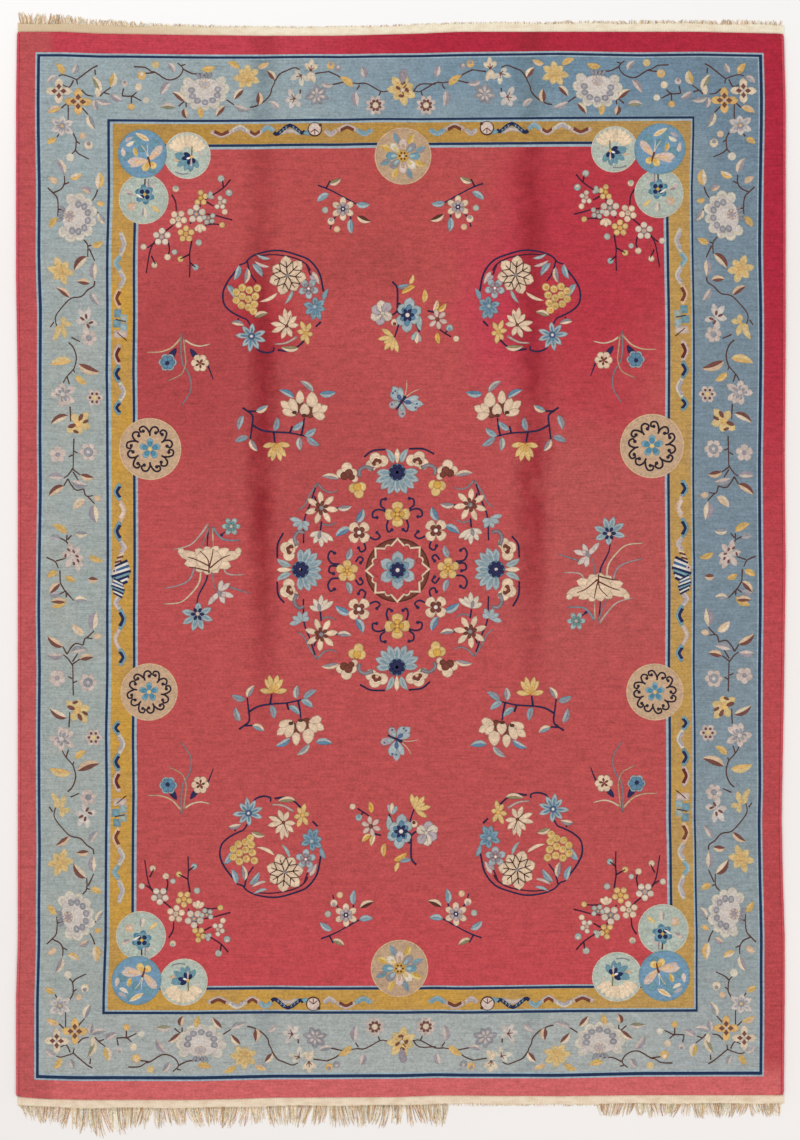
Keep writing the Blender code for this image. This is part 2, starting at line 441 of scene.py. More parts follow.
def pile_slab():
    columns = line_of(PILE_WIDTH / 2, COLUMN_PITCH, CREASE_X)
    rows = line_of(PILE_LENGTH / 2, ROW_PITCH)
    last_i, last_j = len(columns) - 1, len(rows) - 1
    walk = ([(i, 0) for i in range(last_i)] + [(last_i, j) for j in range(last_j)]
            + [(i, last_j) for i in range(last_i, 0, -1)] + [(0, j) for j in range(last_j, 0, -1)])
    corners, faces, uv, rings = [], [], [], []
    for (side_in, side_up), (end_in, end_up) in zip(SIDE_SECTION, END_SECTION):
        ring = []
        for i, j in walk:
            x, y = on_sheet(columns[i], rows[j])
            side, end = i in (0, last_i), j in (0, last_j)
            up = (side_up if side else end_up) if side != end else (side_up + end_up) / 2
            x -= math.copysign(side_in if side else 0, x)
            y -= math.copysign(end_in if end else 0, y)
            ring.append(len(corners))
            corners.append((x, y, up * (1 - crease(x) / RUG_THICKNESS)))
        rings.append(ring)
    top = {place: rings[-1][k] for k, place in enumerate(walk)}
    for i in range(1, last_i):
        for j in range(1, last_j):
            x, y = on_sheet(columns[i], rows[j])
            top[i, j] = len(corners)
            corners.append((x, y, RUG_THICKNESS - crease(x)))
    faces += [(top[i, j], top[i + 1, j], top[i + 1, j + 1], top[i, j + 1])
              for i in range(last_i) for j in range(last_j)]
    above = len(faces)
    count = len(walk)
    for low, high in zip(rings, rings[1:]):
        faces += [(low[k], low[(k + 1) % count], high[(k + 1) % count], high[k])
                  for k in range(count)]
    faces.append(tuple(rings[0][::-1]))
    # The upper face fills the map but for a thin band that holds the rest
    flat = seen_from_above(corners, 0.004)
    heights = np.asarray(corners)[:, 2] / RUG_THICKNESS
    for number, face in enumerate(faces):
        for k in face:
            u, v = flat[k]
            if number < above:
                uv.append((u, 0.07 + 0.93 * v))
            elif number < len(faces) - 1:
                uv.append(((k % count) / count, 0.002 + 0.018 * heights[k]))
            else:
                uv.append((u, 0.025 + 0.04 * v))
    return make_piece("knotted_pile", corners, faces, WOOL["red"], uv)


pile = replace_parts(pile_slab(), "rug_body")
print("pile faces:", len(pile.data.polygons))


# %% [markdown]
# ## The chart
# The design is counted out in squares from the chart's upper left corner, as a
# knotter reads it: columns to the right and rows down. One square is 3.26 mm,
# about one knot. The rug's middle is at column 401, row 565. A pen draws on the
# chart; a copy of the pen can be shifted, turned or mirrored, so a motif is
# charted once and used in all four quarters.

# %% The chart on the uneven rug
SQUARE = 0.00326
MIDDLE = complex(401, 565)

# How far the lines of the real rug drift from its straight chart, in squares,
# at steps along each side: the outer line first, then the inner one
STEPS_ACROSS = (-341, -281, -191, -91, -21, 59, 159, 239, 309)
STEPS_DOWN = (485, 435, 375, 315, 255, 195, 135, 75, 15, -45, -105, -165, -225, -285, -345, -405,
              -465)
DRIFT_UP = {"top": ((0, 0.8, 0.9, 2.0, 1.2, -0.5, 0.7, -1.0, -0.2),
                    (1.1, 1.1, 1.3, 2.2, 1.7, -1.4, -1.0, -1.2, -1.2)),
            "bottom": ((1.0, 1.1, 0.7, 0.1, 0.1, -1.0, -0.9, 0, 0.2),
                       (2.5, 2.5, 2.0, -0.2, -0.8, -3.0, -1.6, -2.5, -2.5))}
DRIFT_RIGHT = {
    "left": ((-1.1, -0.8, 0.4, -0.1, 1.2, 0, -0.6, 0, -0.9, -1.6, -0.7, -1.2, -1, -0.4, -1.1, -0.7,
              -0.6),
             (-0.4, -0.4, 0.2, -1.1, -1.1, -2.3, -1.8, -1.2, -0.8, -1.0, -0.5, -1.4, -0.4, -0.8,
              -1.0, -1.3, -1.2)),
    "right": ((1.7, 1.2, 0.1, -0.6, 0.4, 0.5, 0.1, -0.4, -0.6, 0.2, 0.1, 0.8, 2.3, 1.7, 1.4, 0.8,
               1.2),
              (1.6, 1.6, -0.3, 0.1, 0.9, 1.0, 0.7, 0.2, 0, 0.4, 0.4, 1.9, 2.8, 3.0, 2.1, 1.5, 1.8))}


# Squares from the middle to a border's inner line, its middle and its outer line
ROWS_OUT, COLUMNS_OUT = (446, 508, 540), (294, 360, 388)


def drift(along, away, steps, tables, lines):
    """Push a place that is away from the middle as its side's lines drifted."""
    order = np.argsort(steps)
    outer, inner = (np.interp(along, np.asarray(steps)[order], np.asarray(t)[order])
                    for t in tables)
    near, middle, far = lines
    return outer * np.interp(away, (near, middle, far), (0, 1, 0.2)) + inner * np.interp(
        away, (near - 200, near - 35, near, middle), (0, 1, 1, 0))


def as_woven(squares):
    """Where places of the straight chart came out on the real, uneven rug."""
    z = np.asarray(squares, complex) - MIDDLE
    x, y = z.real, -z.imag
    up = (drift(x, y, STEPS_ACROSS, DRIFT_UP["top"], ROWS_OUT)
          + drift(x, -y, STEPS_ACROSS, DRIFT_UP["bottom"], ROWS_OUT))
    right = (drift(y, -x, STEPS_DOWN, DRIFT_RIGHT["left"], COLUMNS_OUT)
             + drift(y, x, STEPS_DOWN, DRIFT_RIGHT["right"], COLUMNS_OUT))
    x, y = x + right, y + up
    # The inner borders of this rug widen a little towards the lower end
    taper = np.interp(np.abs(x), (0, 294, 384), (0, 1, 0))
    tilt = np.interp(np.abs(y), (0, 446, 532), (0, 1, 0))
    x = x - np.sign(x) * 2.0 * (y / 430) * taper
    y = y + 1.5 * (x / 290) * tilt
    return on_sheet(x * SQUARE, y * SQUARE)


def charted(place):
    """The place of the straight chart that comes out at a place on the rug."""
    guess = complex(place)
    for _ in range(3):
        x, y = as_woven(guess)
        guess += place - complex(MIDDLE.real + float(x) / SQUARE, MIDDLE.imag - float(y) / SQUARE)
    return guess


def on_pile(squares, lift):
    """Places on the rug for places of the chart, raised above the pile."""
    x, y = as_woven(squares)
    return np.stack([x, y, RUG_THICKNESS - crease(x) + lift], axis=-1)


print("the chart's middle lies at", [round(float(v), 4) for v in as_woven(MIDDLE)])

# %% [markdown]
# ## The pen
# A pen lists closed shapes, each of one dye. It turns, mirrors and shifts what
# it is given, and sets a shape one level higher than those that it overlaps. Its
# copies share the list, so one pen can draw a whole motif round several centres.

# %% The pen
BEFORE = 60  # shapes that a new one is compared with
HIGHEST = 24  # levels


class Pen:
    """Draws closed shapes of one dye on the chart, later ones above earlier."""

    def __init__(self, shapes=None, turn=1 + 0j, shift=0j, mirror=False):
        self.shapes = [] if shapes is None else shapes
        self.turn, self.shift, self.mirror = turn, shift, mirror

    def to_chart(self, z):
        z = np.asarray(z, complex)
        return self.turn * (np.conj(z) if self.mirror else z) + self.shift

    def at(self, place, turn=0.0, size=1.0, flip=False):
        """A pen whose 0 is at a place, turned clockwise by degrees."""
        turned = (-size if flip else size) * np.exp(1j * math.radians(turn))
        turned = self.turn * (np.conj(turned) if self.mirror else turned)
        return Pen(self.shapes, turned, complex(self.to_chart(place)), flip != self.mirror)

    def moved(self, centre, to, flip_x=False, flip_y=False):
        """A pen that draws what is charted round centre round another place."""
        turn, mirror = (-1 if flip_x else 1), flip_x != flip_y
        shift = complex(self.to_chart(to - turn * (np.conj(centre) if mirror else centre)))
        turn = self.turn * (np.conj(turn) if self.mirror else turn)
        return Pen(self.shapes, turn, shift, mirror != self.mirror)

    def add(self, corners, faces, rim, dye):
        """A shape: its corners, the faces of its top, and its outline's corners."""
        points = self.to_chart(corners)
        low = points.real.min(), points.imag.min()
        high = points.real.max(), points.imag.max()
        level = 0
        for other in self.shapes[-BEFORE:]:
            a, b = other["low"], other["high"]
            if low[0] < b[0] and a[0] < high[0] and low[1] < b[1] and a[1] < high[1]:
                level = max(level, other["level"] + 1)
        self.shapes.append({"points": points, "faces": faces, "rim": rim, "dye": dye,
                            "low": low, "high": high, "level": min(level, HIGHEST)})


print("a new pen holds", len(Pen().shapes), "shapes")

# %% [markdown]
# All motifs are made of four shapes: a patch round a heart, a stem of yarn, a
# leaf or petal from base to tip, and a disc. A bloom is a ring of petals.

# %% Shapes for the pen
PAINTED_SHADE_RIM = 0.80  # width of the rim painted darker as shade, in squares
LEAF_BEND, LEAF_BELLY = 0.09, 0.85
PETAL_FOOT = 0.12  # share of a bloom's radius where its petals begin


def patch(pen, outline, dye, heart=None):
    """A filled, slightly crowned shape, star-shaped round its heart. A ring of
    corners just inside its outline lets the outline carry painted shade, darker than the rest."""
    outline = np.asarray(outline, complex)
    heart = outline.mean() if heart is None else heart
    count = len(outline)
    out = outline - heart
    reach = np.maximum(np.abs(out), 1e-6)
    ring = heart + out * (1 - np.minimum(PAINTED_SHADE_RIM / reach, 0.35))
    faces = []
    for k in range(count):
        n = (k + 1) % count
        faces += [(2 * count, count + k, count + n), (count + k, k, n, count + n)]
    pen.add(np.concatenate([outline, ring, [heart]]), faces, list(range(count)), dye)


def smooth_line(points, steps=5):
    """A smooth run through the given places."""
    p = np.asarray(points, complex)
    if len(p) == 2:
        return np.linspace(p[0], p[1], 3)
    p = np.concatenate([[2 * p[0] - p[1]], p, [2 * p[-1] - p[-2]]])
    run = []
    for a, b, c, d in zip(p, p[1:], p[2:], p[3:]):
        t = np.arange(steps) / steps
        run.append(0.5 * (2 * b + (c - a) * t + (2 * a - 5 * b + 4 * c - d) * t ** 2
                          + (3 * b - a - 3 * c + d) * t ** 3))
    return np.concatenate(run + [[p[-2]]])


def stem(pen, points, width, dye, taper=0.6, steps=5):
    """A line of yarn through places, thinning towards its end."""
    line = smooth_line(points, steps)
    along = np.gradient(line)
    side = 1j * along / np.maximum(np.abs(along), 1e-9)
    half = 0.5 * width * np.linspace(1, taper, len(line))
    count = len(line)
    corners = np.concatenate([line + side * half, line, line - side * half])
    faces = []
    for k in range(count - 1):
        faces += [(row + k, row + k + 1, row + count + k + 1, row + count + k)
                  for row in (0, count)]
    rim = [*range(count), 2 * count - 1, *range(3 * count - 1, 2 * count - 1, -1), count]
    pen.add(corners, faces, rim, dye)


def leaf(pen, base, tip, width, dye, other=None):
    """A pointed, slightly bent leaf; with a second dye its right half is of that."""
    t = np.linspace(0, 1, 7)
    middle = base + (tip - base) * t + 1j * (tip - base) * LEAF_BEND * 4 * t * (1 - t)
    half = 0.5 * width * np.sin(math.pi * t ** LEAF_BELLY) ** 0.8
    along = np.gradient(middle)
    side = 1j * along / np.maximum(np.abs(along), 1e-9)
    left, right = middle + side * half, middle - side * half
    heart = middle[len(middle) // 2]
    if other is None:
        patch(pen, np.concatenate([left, right[-2:0:-1]]), dye, heart)
        return
    patch(pen, np.concatenate([left, middle[-2:0:-1]]), dye, (heart + left[len(left) // 2]) / 2)
    patch(pen, np.concatenate([middle, right[-2:0:-1]]), other,
          (heart + right[len(right) // 2]) / 2)


def petal(pen, base, tip, width, dye, roundness=0.5):
    """A petal, narrow at its base and round or pointed at its tip."""
    t = np.linspace(0, 1, 8)
    point = np.sin(math.pi * t ** 1.25) ** 0.9
    rounded = np.sqrt(np.clip(t * 1.6 * (1 - t ** 3), 0, None))
    half = 0.5 * width * ((1 - roundness) * point + roundness * rounded)
    way = tip - base
    side = 1j * way / max(abs(way), 1e-9)
    middle = base + way * t
    patch(pen, np.concatenate([middle + side * half, (middle - side * half)[-2:0:-1]]), dye,
          middle[4])


def disc(pen, place, radius, dye, count=10, squash=1.0, turn=0.0):
    """A round or squashed spot with count corners."""
    ring = np.exp(1j * np.linspace(0, math.tau, count, endpoint=False))
    ring = radius * (ring.real + 1j * squash * ring.imag) * np.exp(1j * math.radians(turn))
    patch(pen, place + ring, dye, place)


def bloom(pen, place, radius, petals, dye, width=0.9, roundness=0.8, turn=0.0,
          inner=None, inner_share=0.5, heart=None, heart_share=0.16):
    """Petals round a heart, with a smaller inner petal on each if asked for."""
    span = 4.2 * radius / petals * width
    for colour, share in ((dye, 1), (inner, inner_share)):
        for k in range(petals if colour else 0):
            way = np.exp(1j * math.radians(turn + 360 * k / petals))
            petal(pen, place + way * radius * PETAL_FOOT, place + way * radius * share,
                  span * share, colour, roundness)
    if heart:
        disc(pen, place, radius * heart_share, heart, 8)


print("shapes ready, rims", PAINTED_SHADE_RIM, "squares wide")

# %% [markdown]
# ## Raised pile
# The pen only remembers shapes. This step turns them into meshes: each shape
# becomes a low, closed pad of pile whose top is crowned a little and which is
# sunk into the ground. Its sides slope, as the knotter trims a small groove round
# each motif; they and the rim of each top are darkened as painted shade, and the
# middle is paler as painted light on the crown.

# %% From the chart to raised pile
LIFT = 0.00040  # of the lowest shapes above the pile, in metres
LEVEL = 0.00006  # from one level to the next
SINK = 0.0012  # of every foot below the pile
SLOPE = 0.42  # squares from the rim of a top out to its foot
# Painted light at the crowned heart of each top, painted shade on its sloping sides
HEART_PAINTED_LIGHT, FOOT_PAINTED_SHADE = 1.07, 0.42
SHADE, SHADE_SPREAD = 0.94, 0.07
HIDES = 0.45  # a dye this light takes the ground's colour in full


def knot(name, pen, seed=1, rim_painted_shade=0.46, ground="red", run=0.10):
    """Make one piece of all that a pen has drawn.

    run is the share of the ground's dye that washing has drawn into it."""
    chance = random.Random(seed)
    corners, faces, dyes = [], [], []
    for shape in pen.shapes:
        points, rim = shape["points"], shape["rim"]
        top = on_pile(points, LIFT + LEVEL * shape["level"])
        edge = points[rim]
        out = edge - points.mean()
        area = sum((edge * np.conj(np.roll(edge, -1))).imag) / 2
        slope = min(SLOPE, 0.10 * math.sqrt(abs(area)) + 0.06)  # less on a small shape
        foot = on_pile(edge + slope * out / np.maximum(np.abs(out), 1e-6), -SINK)
        inner = set(range(len(points))) - set(rim)
        for k in inner:
            top[k, 2] += 0.5 * LEVEL
        first = len(corners)
        corners.extend(top)
        corners.extend(foot)
        base = first + len(points)
        shade = SHADE + chance.uniform(-SHADE_SPREAD, SHADE_SPREAD)
        dye = DYES[shape["dye"]]
        stain = run * min(max(dye[:3]) / HIDES, 1)  # dark wool hides it
        dye = [own + stain * (other - own) for own, other in zip(dye, DYES[ground])]
        for k in range(len(points)):  # painted light in the middle, painted shade towards the rim
            tone = rim_painted_shade if k not in inner else HEART_PAINTED_LIGHT if k == len(points) - 1 else 1.0
            dyes.append([min(v * shade * tone, 1.0) for v in dye[:3]] + [1.0])
        # the sloping sides, darker still as painted shade in the groove
        dyes += [[v * shade * FOOT_PAINTED_SHADE for v in dye[:3]] + [1.0]] * len(edge)
        count = len(rim)
        made = [tuple(base + k for k in range(count))[::-1]]
        made += [(base + k, base + (k + 1) % count, first + rim[(k + 1) % count], first + rim[k])
                 for k in range(count)]
        made += [tuple(first + k for k in face) for face in shape["faces"]]
        if area < 0:  # drawn the other way round
            made = [face[::-1] for face in made]
        faces += made
    make_piece(name, corners, faces, WOOL["dyed"], seen_from_above(corners), dyes=dyes)
    print(name, "shapes", len(pen.shapes), "faces", len(faces))


# %% [markdown]
# ## Stripes and border grounds
# The grounds of the two borders and the thin lines between them are knotted
# straight up and down the chart. Each stripe is a closed pad, cut into cells so
# that it follows the wander of the edges and sinks with the pile at the folds.

# %% Straight stripes of the chart
FOLD_COLUMNS = [MIDDLE.real + place / SQUARE for place in CREASE_X]
CELL_WIDTH, CELL_HEIGHT = 12, 14
STRIPE_SLOPE = 0.06


def cells(low, high, pitch, folds=()):
    """Cell lines from low to high, closer together across the folds."""
    line = list(np.linspace(low, high, max(int(round((high - low) / pitch)), 1) + 1))
    for fold in folds:
        if low < fold - 24 and fold + 24 < high:
            line = [x for x in line if abs(x - fold) > 21] + list(fold + np.linspace(-20, 20, 11))
    return sorted(line)


def stripes(name, boxes, material, lift):
    """Pads for boxes of the chart, each (left, top, right, bottom)."""
    corners, faces, uv = [], [], []
    for number, (left, top, right, bottom) in enumerate(boxes):
        columns = cells(left, right, CELL_WIDTH, FOLD_COLUMNS)
        rows = cells(top, bottom, CELL_HEIGHT)
        wide, tall = len(columns), len(rows)
        grid = [complex(x, y) for y in rows for x in columns]
        first = len(corners)
        corners.extend(on_pile(grid, lift))
        rim = (list(range(wide)) + [wide * j + wide - 1 for j in range(1, tall)]
               + [wide * (tall - 1) + k for k in range(wide - 2, -1, -1)]
               + [wide * j for j in range(tall - 2, 0, -1)])
        base = len(corners)
        edge = np.array([grid[k] for k in rim])
        away = edge - complex((left + right) / 2, (top + bottom) / 2)
        foot = edge + STRIPE_SLOPE * (np.sign(away.real) * np.isin(edge.real, (left, right))
                                      + 1j * np.sign(away.imag) * np.isin(edge.imag, (top, bottom)))
        corners.extend(on_pile(foot, -SINK))
        count = len(rim)
        made = [tuple(base + k for k in range(count))]
        made += [(base + (k + 1) % count, base + k, first + rim[k], first + rim[(k + 1) % count])
                 for k in range(count)]
        for j in range(tall - 1):
            row = first + wide * j
            made += [(k, k + wide, k + wide + 1, k + 1) for k in range(row, row + wide - 1)]
        faces += made
        # Each pad has its own band of the map, laid along its longer side
        place = {first + k: z for k, z in enumerate(grid)}
        place.update({base + k: z for k, z in enumerate(foot)})
        long_way = right - left >= bottom - top
        for face in made:
            for k in face:
                u = (place[k].real - left + 0.1) / (right - left + 0.2)
                v = (place[k].imag - top + 0.1) / (bottom - top + 0.2)
                if not long_way:
                    u, v = v, u
                uv.append((0.002 + 0.996 * u, (number + 0.02 + 0.96 * v) / len(boxes)))
    make_piece(name, corners, faces, material, uv)
    print(name, "cells", len(faces))


# %% [markdown]
# Both grounds and all lines are rings between two rectangles of the chart. The
# navy lines lie on the pale ones, so they are a little higher.

# %% Grounds and lines
def ring_boxes(outer, inner):
    """The four boxes between two rectangles (left, top, right, bottom)."""
    return [(outer[0], outer[1], outer[2], inner[1]), (outer[0], inner[3], outer[2], outer[3]),
            (outer[0], inner[1], inner[0], inner[3]), (inner[2], inner[1], outer[2], inner[3])]


# Each ring's outer and inner rectangle, from the guard stripe in to the field
OUTER = {"pale": ((36.5, 53.0, 763.0, 1078.8), (42.8, 58.4, 757.0, 1072.4)),
         "navy": ((38.3, 54.8, 761.2, 1077.2), (41.2, 57.2, 758.2, 1074.0)),
         "blue": ((42.8, 58.4, 757.0, 1072.4), (106.2, 117.4, 694.4, 1012.8))}
INNER = {"pale": ((106.2, 117.4, 694.4, 1012.8), (112.0, 122.2, 690.8, 1008.6)),
         "navy": ((106.6, 117.8, 694.2, 1012.6), (109.2, 120.2, 692.2, 1010.0)),
         "gold": ((112.0, 122.2, 690.8, 1008.6), (133.2, 142.4, 669.8, 988.6))}
FIELD = {"pale": ((133.2, 142.4, 669.8, 988.6), (138.4, 147.6, 664.6, 984.6)),
         "navy": ((133.4, 142.6, 669.6, 988.4), (136.0, 145.2, 667.0, 986.0))}

GROUND_LIFT, PALE_LIFT, NAVY_LIFT = 0.00020, 0.00022, 0.00034  # metres above the pile

stripes("border_ground", ring_boxes(*OUTER["blue"]), WOOL["blue"], GROUND_LIFT)
stripes("inner_border_ground", ring_boxes(*INNER["gold"]), WOOL["gold"], GROUND_LIFT)
for name, dye, wool_name, lift in (("pale_lines", "pale", "mist", PALE_LIFT),
                                   ("navy_lines", "navy", "navy", NAVY_LIFT)):
    stripes(name, [box for border in (OUTER, INNER, FIELD) for box in ring_boxes(*border[dye])],
            WOOL[wool_name], lift)

# %% [markdown]
# ## Edge cords
# The long sides end in a thick cord of outer warps, overcast with red wool. A
# tube follows each wandering side, and its wraps are small bulges along it.

# %% The overcast cords
WRAP = 0.0085  # from one turn of the wool to the next
CORD_HALF_WIDTH, CORD_HALF_HEIGHT, CORD_CENTRE = 0.0050, 0.0046, 0.0052
CORD_SIDES, CORD_STEPS = 12, 820


def cord_wool(bench, place):
    """Pinker at the left and towards the lower end."""
    x, y, _ = bench.axes(place)
    pink = y.step(1.2, -1.6)
    left = bench.mix(pink, linear(202, 76, 90), linear(206, 92, 98))
    return bench.mix(x.step(-0.4, 0.4) * 0.7, left, linear(196, 74, 84))


WOOL["cord"] = wool("overcast_wool", cord_wool, streaks=0.22, specks=0.22)


def cap_map(around):
    """A speck in a corner of the map, for the closed end of a tube."""
    return [(0.999 - 0.0003 * math.cos(n), 0.999 - 0.0003 * math.sin(n)) for n in range(around)]


def edge_cord(name, hand):
    """The cord of the left (-1) or the right (1) side."""
    around, count = CORD_SIDES, CORD_STEPS
    corners, faces = [], []
    for k, y in enumerate(np.linspace(-PILE_LENGTH / 2 + 0.0015, PILE_LENGTH / 2 - 0.0015, count)):
        side, along = on_sheet(hand * PILE_WIDTH / 2, y)
        wrap = 1 + 0.06 * math.sin(math.tau * y / WRAP) + 0.03 * math.sin(y * 61)
        end = min(k, count - 1 - k)
        wrap *= (0.5, 0.8, 1.0)[min(end, 2)]
        for n in range(around):
            angle = math.tau * n / around
            lean = 0.002 * math.sin(angle)
            corners.append((side - hand * CORD_CENTRE + CORD_HALF_WIDTH * wrap * math.cos(angle),
                            along + lean * (end > 1),
                            CORD_CENTRE + CORD_HALF_HEIGHT * wrap * math.sin(angle)))
    for k in range(count - 1):
        for n in range(around):
            m = (n + 1) % around
            low, high = k * around, (k + 1) * around
            faces.append((low + n, high + n, high + m, low + m))
    faces.append(tuple(range(around)))
    faces.append(tuple((count - 1) * around + n for n in range(around))[::-1])
    # Laid out as one long ribbon, cut into lengths that are stacked
    rows, uv = 16, []
    share = math.ceil(count / rows)
    for face in faces[:-2]:
        k, n = divmod(face[0], around)
        row, step = divmod(k, share)
        for dn, dk in ((0, 0), (0, 1), (1, 1), (1, 0)):
            uv.append(((step + dk) / share * 0.99 + 0.005,
                       (row + 0.05 + 0.9 * (n + dn) / around) / rows))
    make_piece(name, corners, faces, WOOL["cord"], uv + 2 * cap_map(around), smooth=True)
    print(name, "turns", round(PILE_LENGTH / WRAP))


edge_cord("edge_cord_left", -1)
edge_cord("edge_cord_right", 1)

# %% [markdown]
# ## Woven ends
# Past the last row of knots the cotton warps are woven into a plain strip, a
# thin ribbed sheet. The upper one is paler, but browned towards its left.

# %% Cotton
WARP_RIB, WEFT_RIB = 0.0052, 0.0030


def cotton(name, ground, strength, soiled=None):
    """Plain weave of two shades; soiled is from x, to x and a brown."""
    bench = Bench(name)
    place = bench.place()
    x, y, _ = bench.axes(place)
    warp = (x * (math.tau / WARP_RIB)).maths("SINE")
    weft = (y * (math.tau / WEFT_RIB)).maths("SINE")
    fuzz = bench.noise(place, 420.0, 3.0)
    soil = bench.noise(bench.stretched(place, 26, 60), 1.0, 3.0)
    colour = bench.mix((soil - 0.42) * 2.6, ground[0], ground[1])
    if soiled:
        colour = bench.mix(x.step(*soiled[:2]) * 0.75, colour, linear(*soiled[2]))
    light = 1 + warp * strength + 0.30 * (fuzz - 0.5)
    colour = bench.node("ShaderNodeVectorMath", {"operation": "SCALE"}, {0: colour, "Scale": light})
    height = warp * 0.6 + weft * 0.35 + fuzz * 0.7
    bump = bench.node("ShaderNodeBump", {}, {"Strength": 0.5, "Distance": 0.0010, "Height": height})
    return bench.finish(Base_Color=colour, Normal=bump, Roughness=0.88, Sheen_Weight=0.10,
                        Specular_IOR_Level=0.2)


woven_cotton = cotton("woven_cotton", (linear(240, 222, 196), linear(218, 192, 160)), 0.05)
browned_cotton = cotton("pale_woven_cotton", (linear(246, 236, 211), linear(230, 211, 180)), 0.05,
                        (-0.35, -1.00, (204, 176, 138)))
print("ribs a metre:", round(1 / WARP_RIB))

# %% [markdown]
# Each strip follows the uneven end of the pile and leaves a hair's breadth
# between. Its map is cut into lengths, because it is a hundred times as long as
# it is wide.

# %% The woven strips
END_GAP = 0.0002
END_WIDTH = 0.029
# The strip's section, from the pile outward: share of its width, and height
STRIP_SECTION = ((0, 0.0), (0, 0.0028), (0.12, 0.0036), (0.5, 0.0034), (0.88, 0.0032), (1, 0.0018),
                 (1, 0.0))


def end_edge(x, hand):
    """The end of the pile at x, at the upper (1) or the lower (-1) end."""
    return on_sheet(x, hand * PILE_LENGTH / 2)[1]


def woven_end(name, hand, material):
    """The cotton strip of the upper (1) or the lower (-1) end."""
    reach = PILE_WIDTH / 2 - 0.002
    count, around = 500, len(STRIP_SECTION)
    corners, faces = [], []
    for x in np.linspace(-reach, reach, count):
        near = end_edge(x, hand) + hand * END_GAP
        wave = 0.0015 * math.sin(x * 23) + 0.0006 * math.sin(x * 210)
        far = end_edge(x, hand) + hand * (END_WIDTH + wave)
        rib = 0.00025 * math.sin(math.tau * x / (2 * WARP_RIB))
        for share, height in STRIP_SECTION:
            corners.append((x, near + (far - near) * share,
                            height + (rib if height > 0.002 else 0)))
    for k in range(count - 1):
        for n in range(around):
            m = (n + 1) % around
            face = (k * around + n, (k + 1) * around + n, (k + 1) * around + m, k * around + m)
            faces.append(face if hand > 0 else face[::-1])
    ends = [tuple(range(around)), tuple((count - 1) * around + n for n in range(around))[::-1]]
    faces += ends if hand > 0 else [e[::-1] for e in ends]
    rows, uv = 14, []
    share = math.ceil(count / rows)
    heights = (0.02, 0.10, 0.2, 0.5, 0.8, 0.92, 0.96, 0.99)
    for face in faces[:-2]:
        k = min(f // around for f in face)
        row, step = divmod(k, share)
        wraps = {f % around for f in face} == {0, around - 1}
        for f in face:
            v = heights[around if wraps and f % around == 0 else f % around]
            uv.append(((step + f // around - k) / share * 0.99 + 0.005,
                       (row + 0.02 + 0.96 * v) / rows))
    return make_piece(name, corners, faces, material, uv + 2 * cap_map(around))


upper_end = woven_end("woven_end_upper", 1, browned_cotton)
lower_end = woven_end("woven_end_lower", -1, woven_cotton)
print("woven ends reach", [round(float(end_edge(0, h)), 3) for h in (1, -1)])

# %% [markdown]
# ## Fringe
# The ends of the warps hang loose as fringe. Each strand is a tapered, flattened
# yarn of its own that leans with its neighbours, some gathered in clumps, and
# where the ends are worn bare only stubs are left. A strand's faces carry its
# own shade, darker at the root and paler at the frayed tip.

# %% The strands
WOOL["strand"] = wool("loose_cotton", dyed_ground, streaks=0.10, specks=0.35)

# from x, to x, pitch, length at the start and at the end, wave, wave length
UPPER_STRANDS = ((-1.240, -0.850, 0.0023, 0.034, 0.014, 0.008, 0.170),
                 (-0.850, -0.600, 0.0050, 0.010, 0.007, 0.005, 0.150),
                 (-0.600, 0.500, 0.0075, 0.005, 0.006, 0.004, 0.150),
                 (0.500, 1.240, 0.0042, 0.008, 0.015, 0.006, 0.150))
LOWER_STRANDS = ((-1.245, -0.980, 0.0026, 0.034, 0.094, 0.012, 0.210),
                 (-0.980, -0.700, 0.0026, 0.082, 0.050, 0.014, 0.200),
                 (-0.700, 0.155, 0.0026, 0.058, 0.066, 0.016, 0.240),
                 (0.155, 0.640, 0.0090, 0.007, 0.007, 0.004, 0.200),
                 (0.640, 1.240, 0.0028, 0.040, 0.046, 0.013, 0.190))
YARNS = ((226, 202, 166), (238, 220, 192), (212, 182, 142), (192, 158, 118), (246, 234, 212),
         (232, 210, 178))
JOINTS, STRAND_SIDES = 7, 6


